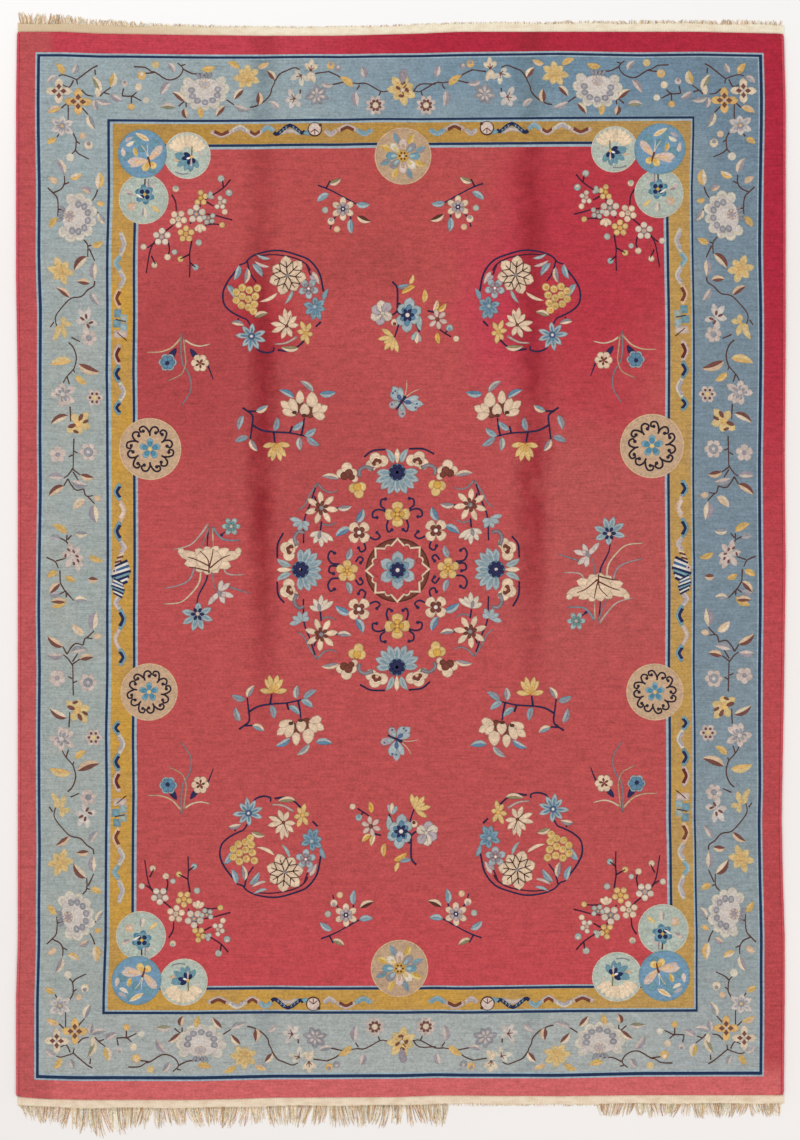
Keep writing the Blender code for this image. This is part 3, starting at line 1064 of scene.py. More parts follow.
def strands(name, hand, runs, seed):
    """The loose yarns of the upper (1) or the lower (-1) end."""
    chance = random.Random(seed)
    corners, faces, dyes = [], [], []
    for start, stop, pitch, first, last, wave, wave_length in runs:
        x, clump, pull = start, start, 0.0
        while x < stop:
            share = (x - start) / (stop - start)
            if x >= clump:  # the next few strands lean to one tip
                clump = x + chance.uniform(0.018, 0.055)
                centre = (x + clump) / 2 + chance.uniform(-0.006, 0.006)
                pull = chance.choice((0.05, 0.12, 0.25, 0.45))
                reach = chance.uniform(0.86, 1.10)
            length = (first + (last - first) * share) * reach * chance.uniform(0.66, 1.10)
            tip_x = (x + (centre - x) * pull + wave * math.sin(math.tau * centre / wave_length)
                     + chance.uniform(-0.5, 0.5) * min(0.016, 0.3 * length))
            root_y = float(end_edge(x, hand)) + hand * (END_WIDTH - 0.004)
            wide = chance.uniform(0.0011, 0.0020)
            raised = chance.choice((0.0, 0.0, 0.0012))
            bow = chance.uniform(-0.5, 0.5) * 0.006
            colour = [v * chance.uniform(0.9, 1.06) for v in linear(*chance.choice(YARNS))[:3]]
            base = len(corners)
            for n in range(JOINTS + 1):
                t = n / JOINTS
                cx = x + (tip_x - x) * t ** 1.4 + bow * math.sin(math.pi * t)
                cy = root_y + hand * (length + 0.004) * t
                half = wide * (1 - 0.45 * t) * (0.35 if n == JOINTS else 1)
                high = (0.0026 - 0.0010 * t) * (0.5 if n == JOINTS else 1)
                low = raised * math.sin(math.pi * min(t * 1.2, 1)) + 0.0001
                corners += [(cx + half * across, cy, low + high * up) for across, up in (
                    (-1, 0.3), (-0.5, 0), (0.5, 0), (1, 0.3), (0.5, 1), (-0.5, 1))]
            for n in range(JOINTS):
                low = base + STRAND_SIDES * n
                shade = 0.80 if n == 0 else 1.0 + 0.06 * n / JOINTS
                for m in range(STRAND_SIDES):
                    k = (m + 1) % STRAND_SIDES
                    face = (low + m, low + k, low + STRAND_SIDES + k, low + STRAND_SIDES + m)
                    faces.append(face if hand < 0 else face[::-1])
                    dyes.append([min(v * shade, 1) for v in colour] + [1])
            for cap, flip in ((0, False), (JOINTS, True)):
                face = tuple(base + STRAND_SIDES * cap + m for m in range(STRAND_SIDES))
                faces.append(face if flip == (hand < 0) else face[::-1])
                dyes.append(colour + [1])
            x += pitch * chance.uniform(0.75, 1.2)
    print(name, "faces", len(faces))
    return make_piece(name, corners, faces, WOOL["strand"], seen_from_above(corners),
                      dyes=dyes, smooth=True)


upper_strands = strands("strands_upper", 1, UPPER_STRANDS, 5)
lower_strands = strands("strands_lower", -1, LOWER_STRANDS, 6)
for piece, node in ((upper_end, "fringe_upper"), (upper_strands, "fringe_upper"),
                    (lower_end, "fringe_lower"), (lower_strands, "fringe_lower")):
    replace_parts(piece, node)

# %% [markdown]
# ## The main border
# A vine with blossoms, buds and two-coloured leaves runs round the rug. The
# knotter charts one quarter and turns the chart over for the other three. A
# place on the chart is one number, column + row * 1j. Leaves are split along
# their rib into two dyes, and every flower is a ring of petals round a heart,
# so the whole vine needs only a few kinds of shape. Stems come first, so that
# leaves and then flowers lie over them.

# %% Tables for stems, leaves, buds and fans
def stems(pen, width, dye, *lines):
    """Thin stems of one width and dye, each a row of places."""
    for line in lines:
        stem(pen, line, width, dye, 0.75, 3)


def leaves(pen, *rows):
    """Rows of base, tip, width, dye and perhaps a second dye."""
    for row in rows:
        leaf(pen, *row)


def buds(pen, *rows):
    """Rows of place, radius, dye and perhaps a second dye for the tip."""
    for place, radius, dye, *tip in rows:
        disc(pen, place, radius, dye, 9)
        if tip:
            disc(pen, place - 0.35j * radius, radius * 0.5, tip[0], 7)


def fan(pen, place, tips, width, dye, roundness, inner=None):
    """Petals from one place to each tip. inner adds a smaller one on each, given
    by its share of the length, its width, dye and roundness."""
    for tip in tips:
        petal(pen, place, tip, width, dye, roundness)
        if inner:
            petal(pen, place, place + inner[0] * (tip - place), *inner[1:])


def beads(pen, place, count, reach, radius, dye, sides, start=0.0):
    """Small discs in a ring round a place."""
    for k in range(count):
        disc(pen, place + reach * np.exp(1j * math.radians(start + 360 * k / count)), radius, dye,
             sides)


def try_out(*parts, **numbers):
    """Draw each part with a pen of its own, and say how many shapes it has."""
    for part in parts:
        pen = Pen()
        part(pen, **numbers)
        print(part.__name__, "has", len(pen.shapes), "shapes")


STEM_WIDTH = 1.5  # of the border's vine, in squares
print("vine stems:", round(STEM_WIDTH * SQUARE * 1000, 1), "mm wide")

# %% [markdown]
# The border's flowers come in four kinds: four square petals, a star of long
# points, an open lily, and the large peony seen from its side.

# %% Flowers of the border
def four_petals(pen, place, radius, dye, inner="brown", heart="rose", turn=0):
    """Four pointed petals, each with a dark diamond at its foot, and a heart."""
    disc(pen, place, radius * 0.40, dye, 8)
    for k in range(4):
        way = np.exp(1j * math.radians(turn + 90 * k))
        petal(pen, place, place + way * radius, radius * 0.62, dye, 0.25)
    for k in range(4):
        turned = turn + 90 * k
        disc(pen, place + np.exp(1j * math.radians(turned)) * radius * 0.34, radius * 0.24, inner,
             4, 0.8, turned)
    disc(pen, place, radius * 0.13, heart, 6)


def star_flower(pen, place, radius, petals, dye, other, heart="brown", turn=0):
    """A flower of long pointed petals, some short, with a few dark threads."""
    for k in range(petals):
        way = np.exp(1j * math.radians(turn + 360 * k / petals))
        reach = radius * (1.0, 0.78, 0.92)[k % 3]
        petal(pen, place, place + way * reach, radius * 0.52, dye, 0.18)
        petal(pen, place + way * 1.5, place + way * reach * 0.66, radius * 0.22, other, 0.1)
    for k in range(3):
        way = np.exp(1j * math.radians(turn + 25 + 62 * k))
        stem(pen, (place, place + way * radius * 0.42), 1.0, heart, 0.8, 2)
    disc(pen, place, radius * 0.13, heart, 7)


def lily(pen, place, petals, dye, heart="brown", width=5.4):
    """An open lily given by where its petals end."""
    fan(pen, place, petals, width, dye, 0.12)
    for tip in petals[:3]:
        stem(pen, (place, place + 0.45 * (tip - place)), 1.1, heart, 0.6, 2)
    disc(pen, place, 1.3, heart, 7)


def peony(pen, place, radius, petal_dye, spot_dye, heart_dye, turn):
    """A large flower seen from the side: a fan of lobes that opens towards
    turn, a bow of spots in it, and a dotted heart where the stem comes in."""
    pen = pen.at(place, turn - 90)
    for k in range(9):
        angle = math.radians(-28 + 236 * k / 8)
        lobe = radius * (0.82 * math.cos(angle) + 0.70j * math.sin(angle))
        disc(pen, lobe, radius * (0.26, 0.30)[k % 2], "ivory", 9, 0.85, math.degrees(angle))
        disc(pen, lobe * 0.93, radius * (0.17, 0.20)[k % 2], petal_dye, 8, 0.85,
             math.degrees(angle))
    disc(pen, 0.12j * radius, radius * 0.78, petal_dye, 22, 0.80)
    for k in range(7):
        angle = math.radians(-12 + 204 * k / 6)
        spot = radius * (0.60 * math.cos(angle) + (0.12 + 0.46 * math.sin(angle)) * 1j)
        disc(pen, spot, radius * 0.165, spot_dye, 9, 0.85)
        disc(pen, spot, radius * 0.085, "lilac", 7, 0.85)
    disc(pen, -0.22j * radius, radius * 0.25, heart_dye, 10, 0.8)
    beads(pen, -0.22j * radius, 7, radius * 0.17, radius * 0.055, "peach", 6)
    for lean in (-0.34, -0.12, 0.12, 0.34):
        petal(pen, (lean * 0.4 - 0.42j) * radius, (lean - 0.74j) * radius, radius * 0.14, "dove",
              0.3)


try_out(four_petals, place=0, radius=13, dye="cream")
try_out(peony, place=0, radius=23, petal_dye="blush", spot_dye="dove", heart_dye="mauve", turn=0)

# %% [markdown]
# In each corner of the border the vine turns round two square flowers, one cream
# and one amber, with leaves of two dyes between its stems.

# %% The corner of the border
def border_corner(pen):
    stems(pen, STEM_WIDTH, "cocoa",
          (97+65.5j, 91+69j, 80.5+77.5j, 77+80j, 73+78.5j, 64.5+76j, 59.5+77j),
          (94.4+69.6j, 95+75j), (77+80j, 78+85j), (74+81j, 70+88j, 64+86j),
          (82+90.5j, 87+95j, 93+96j), (99.5+96j, 103+92.3j, 110+87j), (103+92j, 109+94j),
          (123+88j, 121.5+95j), (121.5+95.3j, 131+95.5j, 136+91.5j), (131+95j, 141+100j),
          (131+96j, 131+103j), (133+66.5j, 144+67j, 150+70.5j), (145+73j, 154+72j),
          (62.5+109j, 67+105j, 69+105.5j, 69+124.5j), (82.5+108j, 88.5+114.5j))
    leaves(pen, (64.5+75.5j, 57+64.5j, 6.5, "amber", "gold"),
           (73+74.5j, 77+64.5j, 6, "dove", "rose"), (58+77.5j, 48.5+84j, 6, "rose", "lilac"),
           (100+93j, 91.5+76j, 7, "cream", "olive"), (97+97j, 96+87j, 5.5, "cream"),
           (110+86.5j, 113+72j, 8.5, "cream", "gold"),
           (110.5+93.5j, 122+100j, 6.5, "mauve", "rose"), (95+99j, 111+102j, 6, "rose", "dove"),
           (95+99j, 97+110j, 6, "rose", "dove"), (62.3+108.6j, 49+114j, 6.5, "peach", "amber"),
           (88.5+114.5j, 95.5+129j, 7, "cream", "dove"))
    buds(pen, (124+83j, 3.4, "rose", "dove"), (138+86.5j, 3.8, "cream"), (131+106j, 3.4, "amber"),
         (145.7+99.4j, 3.4, "ivory"), (141+75j, 4.4, "amber", "cream"))
    four_petals(pen, 60+92j, 13, "cream")
    four_petals(pen, 78.7+102j, 13.5, "amber")


try_out(border_corner)

# %% [markdown]
# Along the end the vine passes a peony, a yellow star flower, three lilies, a
# grey star and a round blossom, and meets its mirror image at a large yellow
# flower.

# %% The upper run of the border
def border_upper(pen):
    stems(pen, STEM_WIDTH, "cocoa",
          (150+72j, 154.5+72.5j, 166+79.5j, 174+79j, 180+75j, 182.5+68.5j, 177+63j),
          (181+65.5j, 185+64.5j), (182.5+69j, 192+73.5j, 202+74j, 207+78j), (201+74j, 201+79.5j),
          (178.5+106j, 184+101.5j, 188.5+102.3j), (186+102j, 186+107j), (226.5+99.5j, 234+104.5j),
          (246.5+82j, 243+85.5j),
          (250+107j, 254+106.5j, 258.5+104.5j, 265+100.5j, 270.5+94j, 271.5+89j, 275+80j,
           268+71.5j), (275+81j, 280+74j, 286.5+71j, 294.5+68j, 300+70j), (315.5+74j, 329+72j),
          (300.5+90j, 300+97j), (316.5+86j, 317+94j),
          (359+84.5j, 367+84.5j, 381.5+92.5j, 388.5+92j), (360+86j, 357+90.5j),
          (381+93j, 379.5+97j), (329+72j, 338+76j, 346+82j, 359+84.5j), (333+85j, 346+82j))
    leaves(pen, (174+72.5j, 167+63j, 6.5, "rose", "dove"),
           (170+82j, 160.5+95.5j, 7, "mauve", "rose"),
           (184.5+101.5j, 172+92j, 6.5, "cream", "brown"),
           (175+107j, 160+107j, 6.5, "rose", "olive"),
           (184.5+108j, 187+118j, 6.5, "brown", "peach"),
           (201+69j, 215+66.5j, 6.5, "gold", "amber"), (201.5+106j, 202+118j, 6.5, "amber", "gold"),
           (225+105.5j, 216+116.5j, 6.5, "cream", "brown"),
           (243.5+89j, 234+99.5j, 6.5, "cream", "brown"), (234+104.5j, 250+110j, 6, "dove", "rose"),
           (258.5+105j, 258.5+91.5j, 7, "peach", "brown"),
           (275+80j, 267+70.5j, 6.5, "cream", "brown"),
           (279+109j, 268.5+101.5j, 6, "rose", "lilac"), (239.5+68.5j, 227+62j, 6, "gold", "amber"),
           (257.5+67j, 269+62.5j, 5.5, "peach", "amber"), (321+83j, 334+85.5j, 6, "rose", "dove"),
           (353+87.5j, 340+77.5j, 7, "amber", "gold"), (365+79j, 362+67j, 7, "mauve", "rose"),
           (356+92j, 358+108j, 7.5, "mauve", "rose"))
    buds(pen, (155+65j, 3.8, "straw"), (331+66j, 4, "amber", "mauve"),
         (338.5+68.5j, 3.6, "dove", "rose"))
    peony(pen, 204.5+89j, 22.5, "blush", "dove", "lilac", 88)
    star_flower(pen, 246.5+77j, 14, 7, "straw", "amber", "amber", 20)
    lily(pen, 301+76j, (290+79j, 295+70.5j, 302+87j, 311.5+81j), "ivory")
    lily(pen, 311+71j, (305+63.5j, 312+59j, 318+65j, 315+83.5j, 308+81j), "cream")
    lily(pen, 294.5+99j, (288+89j, 284.5+101j, 290+109j, 300.5+107.5j, 302+95j), "blush", width=6)
    star_flower(pen, 317+96j, 12.5, 7, "dove", "rose", "lilac", 12)
    bloom(pen, 376+106.5j, 10.5, 8, "rose", 0.95, 0.4, 22, inner="brown", inner_share=0.62,
          heart="cream", heart_share=0.3)


def border_upper_middle(pen):
    stems(pen, STEM_WIDTH, "cocoa", (388.5+92j, 395+88j), (413+92j, 420+84.5j, 436+84.5j))
    star_flower(pen, 402+90j, 16.5, 7, "straw", "amber", "brown", -75)
    for spot, turn in ((398+88j, 40), (403+83j, -20), (407+90j, 60), (401+96j, 10)):
        disc(pen, spot, 2.8, "brown", 6, 0.6, turn)
    petal(pen, 402+84j, 404.5+68j, 8, "mauve", 0.5)
    disc(pen, 402.5+90j, 2.2, "cream", 8)


try_out(border_upper, border_upper_middle)

# %% [markdown]
# Down the side it is charted in two lengths. The first goes from a pale star
# past a peony, a yellow star and a lily.

# %% The left run of the border
def border_left(pen):
    stems(pen, STEM_WIDTH, "cocoa", (57.5+138j, 60+134j),
          (71.5+131.5j, 75.5+138.5j, 76+143j, 75+150.5j, 71.5+154.5j),
          (75+150.5j, 79+154.5j, 88.5+159j), (76+141.5j, 79.5+144j),
          (47.5+188.5j, 53+194j, 57+199j, 58+209j, 57.5+217j),
          (53+193.5j, 60.5+190j, 64+184j, 64+176.5j), (64+185j, 68.5+183j),
          (58+209.5j, 63.5+212.5j, 70+219.5j), (63.5+213j, 67+221j),
          (96.5+189j, 94.5+195j, 91.5+200j), (84+239.5j, 88+245j, 88+256j),
          (88+245.5j, 91.5+244.5j), (89.5+248j, 95+260j), (66+271j, 71.5+270j),
          (95+280j, 94+285j, 88+289j, 81+296j, 71+298j, 62+306.5j, 55.5+315j, 54.5+320.5j, 56+326j),
          (53+322j, 49.5+327j), (71+337j, 80+341j), (93.5+211j, 98+212j))
    leaves(pen, (57+140j, 47.5+145j, 6, "gold", "amber"), (64+175j, 57+159.5j, 7, "cream", "mauve"),
           (69+178.5j, 81+173j, 6.5, "amber", "cream"), (57+185j, 48+178.5j, 6.5, "peach"),
           (57.5+218.5j, 49.5+229j, 6.5, "gold", "amber"),
           (96.5+188j, 98+171j, 9, "amber", "cream"), (90+193j, 80.5+188j, 6.5, "mauve", "peach"),
           (96+201j, 104+203.5j, 5.5, "amber"), (98+212j, 105+223j, 6.5, "cream", "dove"),
           (87.5+256j, 74.5+270.5j, 8.5, "brown", "cream"),
           (92+245j, 103+240.5j, 6.5, "amber", "gold"), (95+262j, 95+279j, 8, "mauve", "cream"),
           (90+282.5j, 77+281.5j, 6.5, "peach", "brown"),
           (69.5+297.5j, 56+288j, 6.5, "peach", "brown"), (91+291j, 99.5+304j, 7, "dove", "rose"))
    buds(pen, (82+136j, 3.4, "peach"), (88+145j, 4.4, "cream", "dove"), (70+158j, 4.2, "ivory"))
    star_flower(pen, 62.5+127j, 13, 6, "blush", "lilac", "mauve", 35)
    disc(pen, 62.5+127j, 3.4, "dove", 9)
    disc(pen, 62.5+127j, 1.5, "amber", 7)
    peony(pen, 74.5+217.5j, 23, "blush", "dove", "mauve", 12)
    star_flower(pen, 61+271j, 15, 6, "straw", "amber", "amber", 250)
    fan(pen, 87+320.5j, (78+308j, 88.5+306j, 98+323j, 84+333j, 75+321j), 6.5, "blush", 0.15)
    for spot, turn in ((82+318j, 30), (86+315.5j, 80), (91+321.5j, -20), (88+325j, 60)):
        disc(pen, spot, 2.8, "brown", 6, 0.5, turn)
    lily(pen, 62+325j, (63+316.5j, 71.5+323j, 54+331.5j, 52+341.5j, 65+338.5j), "straw", "amber",
         6.0)
    bloom(pen, 89+337j, 8.6, 6, "rose", 1.1, 0.9, 10, heart="dove", heart_share=0.38)


try_out(border_left)

# %% [markdown]
# The second length holds rose-coloured and yellow blossoms with many leaves, and
# at the middle of the side the vine closes round one dusty flower.

# %% The lower left run of the border
def border_left_lower(pen):
    stems(pen, STEM_WIDTH, "cocoa",
          (68.5+342.5j, 73+347j, 76+354j, 76.5+360j, 75+366j, 73.5+369.5j, 66+378j, 62+386j),
          (67+376.5j, 69.5+384.5j), (73.5+369j, 75+372.5j), (70+406.5j, 70.5+416j, 70.5+421.5j),
          (74+438.5j, 73.5+450j, 73+468j), (74+451j, 77.5+453j), (72.5+455j, 68.5+457j),
          (73+468j, 68+475j, 63.5+478.5j), (67.5+479j, 63.5+486j), (67.5+479j, 70.5+484.5j),
          (73+469.5j, 80+474.5j), (73+472j, 78+480j), (83.5+488.5j, 86+495.5j, 93+495j),
          (87+495.5j, 94.5+503j), (57+536.5j, 66.5+542j), (67+535.5j, 66.5+542j),
          (67.5+540j, 71.5+535.5j), (70.5+484.5j, 76+490j, 83.5+488.5j))
    leaves(pen, (72+361j, 49.5+365.5j, 8.5, "straw", "amber"),
           (78.5+363.5j, 101+371.5j, 9, "peach", "brown"),
           (76+375j, 87.5+383.5j, 6.5, "amber", "gold"),
           (68+416j, 50.5+425j, 7.5, "brown", "cream"), (80+474.5j, 94+477j, 7, "peach", "brown"),
           (63+478j, 47.5+478j, 7, "mauve", "rose"), (71+481j, 88+484.5j, 7, "dove", "rose"),
           (64+486.5j, 48+497j, 7.5, "brown", "peach"), (93.5+496j, 102+498j, 6, "peach"),
           (85+499j, 73+509.5j, 8, "cream", "peach"), (94+504j, 97+522.5j, 10, "mauve", "cream"),
           (67+534j, 52+525.5j, 7, "gold", "amber"), (61+540j, 49.5+538j, 6.5, "dove", "lilac"),
           (75+533j, 88+533j, 6.5, "cream", "dove"))
    fan(pen, 62.5+394.5j, (49.5+395j, 76+387j, 75+402.5j, 61+407.5j, 62+382.5j, 55+388j, 69+406j),
        7.5, "rose", 0.5, (0.6, 3.6, "dove", 0.3))
    disc(pen, 62.5+394.5j, 2.4, "blush", 8)
    bloom(pen, 95+397j, 9, 6, "rose", 1.05, 0.9, 0, heart="straw", heart_share=0.3)
    beads(pen, 95+397j, 6, 4.6, 1.5, "brown", 7)
    fan(pen, 78+424j, (67+432.5j, 80+434.5j, 91+426.5j, 88.5+411.5j, 73+413j), 8.5, "straw", 0.3)
    disc(pen, 78+424j, 4, "amber", 9)
    for spot, size, turn in ((72+426j, 4.4, -20), (81+417j, 4.2, -60), (86+421j, 3.4, -30),
                             (76+431.5j, 3.2, 20)):
        disc(pen, spot, size, "brown", 7, 0.5, turn)
    bloom(pen, 57.5+455j, 8.8, 5, "rose", 1.1, 0.9, -90, heart="mauve", heart_share=0.28)
    bloom(pen, 88.5+451.5j, 9.5, 6, "rose", 1.1, 0.8, 0)
    disc(pen, 88.5+451.5j, 5.0, "dove", 10)
    disc(pen, 88.5+451.5j, 1.8, "blush", 8)


def border_left_middle(pen):
    stems(pen, STEM_WIDTH, "cocoa", (46.5+558j, 55+562j, 58.5+568.5j), (56+561.5j, 65.5+558.5j),
          (60+571j, 60.5+583j), (66.5+542j, 69+546j), (60.5+583j, 66+592j, 74+600j))
    leaves(pen, (58+572.5j, 47+578j, 6.5, "gold", "amber"),
           (65.5+576j, 76+580.5j, 6, "gold", "amber"),
           (60.5+583.5j, 50+594.5j, 7, "peach", "brown"), (66+602j, 51+602j, 6.5, "peach", "brown"),
           (88+578.5j, 98.5+578.5j, 6.5, "peach", "brown"),
           (89+555j, 103.5+560j, 6, "amber", "gold"))
    fan(pen, 72.5+556.5j, (69+541.5j, 80+546j, 84+558j, 83.5+566.5j, 80+571j, 61+553.5j, 66+568j),
        6.5, "rose", 0.25)
    for spot in (68.5+550j, 65.5+556j, 73.5+551.5j, 77+556j, 78+560.5j, 74+563.5j):
        disc(pen, spot, 2.2, "brown", 6, 0.55, spot.real * 40)
    disc(pen, 72.5+557j, 2.2, "blush", 8)


try_out(border_left_lower, border_left_middle)

# %% [markdown]
# The knotter turns the chart over for the other quarters. They don't mirror
# about the rug's true middle, because the real borders came out a little wide at
# the right and below.

# %% Four quarters of one chart
QUARTERS = {"upper_left": (False, False), "upper_right": (True, False),
            "lower_left": (False, True), "lower_right": (True, True)}
MIRROR_COLUMN, MIRROR_ROW = 802.0, 1131.0  # left and right, or top and bottom, add up to this
# Its first entry sets how dark the painted shade at each motif's rim is
BORDER_WOOL = {"rim_painted_shade": 0.84, "ground": "grey_blue", "run": 0.18}


def quarter_pen(anchor, flip_x, flip_y):
    """A pen for a part charted at anchor, mirrored to any quarter."""
    to = charted(anchor)
    to = complex(MIRROR_COLUMN - to.real if flip_x else to.real,
                 MIRROR_ROW - to.imag if flip_y else to.imag)
    return Pen().moved(anchor, to, flip_x, flip_y)


for number, (quarter, flips) in enumerate(QUARTERS.items()):
    for part, anchor in ((border_corner, 90+90j), (border_upper, 270+85j), (border_left, 75+230j),
                         (border_left_lower, 73+445j)):
        pen = quarter_pen(anchor, *flips)
        part(pen)
        knot(f"{part.__name__}_{quarter}", pen, seed=number, **BORDER_WOOL)
for name, part, anchor, flips in (("upper", border_upper_middle, 402+88j, (False, False)),
                                  ("lower", border_upper_middle, 402+88j, (False, True)),
                                  ("left", border_left_middle, 72+565j, (False, False)),
                                  ("right", border_left_middle, 72+565j, (True, False))):
    pen = quarter_pen(anchor, *flips)
    part(pen)
    knot(f"border_middle_{name}", pen, seed=9, **BORDER_WOOL)

# %% [markdown]
# ## The medallion
# The round medallion at the middle is made of four equal quarters. Inside a
# brown ring lies a star with one blue blossom. Round it come yellow and cream
# blossoms with scrolls, and a rim of four lotus heads joined by leaning sprays.
# One pen draws a quarter, and turned or mirrored pens repeat it.

# %% Blossom, star and scroll
SCROLL_WIDTH = 1.8


def scroll(pen, *points, width=SCROLL_WIDTH, dye="navy"):
    """A thin scroll that ends in a knob."""
    stem(pen, points, width, dye, 0.95, 4)
    disc(pen, points[-1], width * 0.95, dye, 8)


def star(pen, points, tip, valley, dye):
    """A star round 0 with its first point upright."""
    corner = np.arange(2 * points)
    way = np.exp(1j * (math.radians(-90) + math.tau * corner / (2 * points)))
    patch(pen, way * np.where(corner % 2 == 0, tip, valley), dye, 0)


def heart_of_medallion(pen):
    """A blue blossom in a red star with cream edges, on a brown ring."""
    disc(pen, 0, 32.0, "cocoa", 40)
    disc(pen, 0, 31.0, "brown", 40)
    star(pen, 8, 33.0, 24.5, "cream")
    beads(pen, 0, 8, 24.6, 3.6, "cream", 10, 22.5)
    star(pen, 8, 30.0, 22.4, "red")
    beads(pen, 0, 8, 23.2, 3.2, "red", 10, 22.5)
    bloom(pen, 0, 19.5, 6, "mist", 0.92, 0.45, -90, inner="sky", inner_share=0.68)
    disc(pen, 0, 8.6, "blue", 14)
    beads(pen, 0, 8, 5.6, 2.3, "navy", 8)
    disc(pen, 0, 5.0, "navy", 12)
    disc(pen, 0, 2.2, "white", 8)


def upright_blossom(pen):
    """The yellow blossom above the star, with its scrolls."""
    for side in (pen, pen.at(0, flip=True)):
        scroll(side, -9-58j, -18-61j, -24-59j, -24.5-53.5j, -20.5-53j)
        scroll(side, -12-61j, -16.5-65j, -16-70.5j, -12-71.5j)
        scroll(side, -9-51j, -10.8-44j, -9-38.6j, -5.6-40.5j)
    bloom(pen, -56j, 13, 4, "straw", 0.95, 0.95, -90, inner="gold", inner_share=0.55)
    disc(pen, -56j, 2.2, "amber", 8)


def sideways_blossom(pen):
    """The yellow blossom at the star's side, with leaves and scrolls."""
    for side in (pen, pen.moved(0, 0, False, True)):
        scroll(side, -58-7j, -66-8j, -69.5-14j, -67-20j, -63-18j)
        scroll(side, -42-9j, -38-14j, -34.5-11.5j, -37-8j)
        leaf(side, -51.5-11j, -47-23.5j, 6.5, "mist", "dove")
    scroll(pen, -60-5j, -67-5j, -68.5+0.5j, -64+2.5j)
    bloom(pen, -50.5, 11.5, 5, "straw", 1.0, 0.9, -90, inner="amber", inner_share=0.5)
    disc(pen, -50.5, 2.0, "gold", 8)


def slanting_blossom(pen):
    """The cream blossom between two yellow ones."""
    scroll(pen, -29-34j, -22-31j, -17.5-34j, -20.5-38j)
    scroll(pen, -34-29j, -32-22j, -36.5-19j, -39-23j)
    leaf(pen, -47-43j, -62-34.5j, 7.5, "mist", "blue")
    leaf(pen, -41-48j, -34.5-62.5j, 7.5, "mist", "blue")
    bloom(pen, -38.4-38.4j, 12.5, 4, "cream", 0.92, 0.9, 45)
    bloom(pen, -38.4-38.4j, 6.8, 4, "brown", 0.9, 0.9, 45)
    disc(pen, -38.4-38.4j, 2.2, "white", 8)


try_out(heart_of_medallion, upright_blossom, sideways_blossom, slanting_blossom)

# %% [markdown]
# The rim joins four lotus heads, each on a navy stem with two small clouds, to
# sprays of blades, stars and tulips that lean over at the corners.

# %% Lotus, cloud and spray
def cloud_head(pen, place, radius, dye, inner, turn=0.0):
    """A curled cloud: three lobes of one dye with a dark heart."""
    way = np.exp(1j * math.radians(turn))
    for lobe in (-0.62 + 0.1j, 0.62 + 0.1j, -0.45j):
        disc(pen, place + way * lobe * radius, radius * 0.62, dye, 12)
    disc(pen, place - 0.02j * way * radius, radius * 0.62, dye, 12)
    for lobe in (-0.26 + 0.02j, 0.26 + 0.02j, -0.16j):
        disc(pen, place + way * lobe * radius, radius * 0.28, inner, 9)
    disc(pen, place + way * 0.16j * radius, radius * 0.20, "peach", 8)


def lotus_head(pen):
    """A lotus on the rim; 0 is its heart and +1j points to the middle."""
    stem(pen, (-33-16j, -25-22j, -12-23.2j), 1.8, "navy", 1.0, 4)
    stem(pen, (12-23.2j, 26-22.5j, 37-17j), 1.8, "navy", 1.0, 4)
    for side in (pen, pen.at(0, flip=True)):
        leaf(side, -4-9j, -11-23.5j, 6.5, "aqua", "mist")
        cloud_head(side, -20.5-10.5j, 9.6, "cream", "brown", -20)
        stem(side, (-24-3.5j, -32-6j, -38-2j, -37+4j), 4.0, "dove", 0.8, 4)
    petal(pen, -8j, -24j, 5.5, "cream", 0.3)
    for angle in (180, 157, 135, 112, 90, 68, 45, 23, 0):
        tip = (21.0 if angle in (0, 90, 180) else 23.5) * np.exp(1j * math.radians(angle))
        petal(pen, tip * 0.2, tip, 8.0, "mist", 0.45)
        petal(pen, tip * 0.3, tip * 0.82, 2.8, "sky", 0.3)
    disc(pen, 0, 8.6, "blue", 16)
    beads(pen, 0, 8, 5.8, 2.5, "navy", 8, 22.5)
    disc(pen, 0, 5.8, "navy", 12)
    disc(pen, 0, 2.4, "white", 8)


def rim_cloud(pen):
    """The cream and brown cloud with a yellow bud, beside the upper lotus."""
    leaf(pen, -58-92.5j, -76-95j, 6, "cream", "dove")
    for place, size in ((-56.5-98j, 4.6), (-50.5-103.5j, 5.6), (-44.5-98j, 4.6), (-42.5-92j, 3.4)):
        disc(pen, place, size, "cream", 12)
    for place, size in ((-53-95.5j, 4.2), (-48.5-98j, 4.4), (-45.5-94j, 3.2)):
        disc(pen, place, size, "brown", 10)
    for place in (-44-83j, -36-84j, -38.5-77.5j):
        disc(pen, place, 5.0, "straw", 12)
    disc(pen, -40-84j, 4.2, "gold", 10)


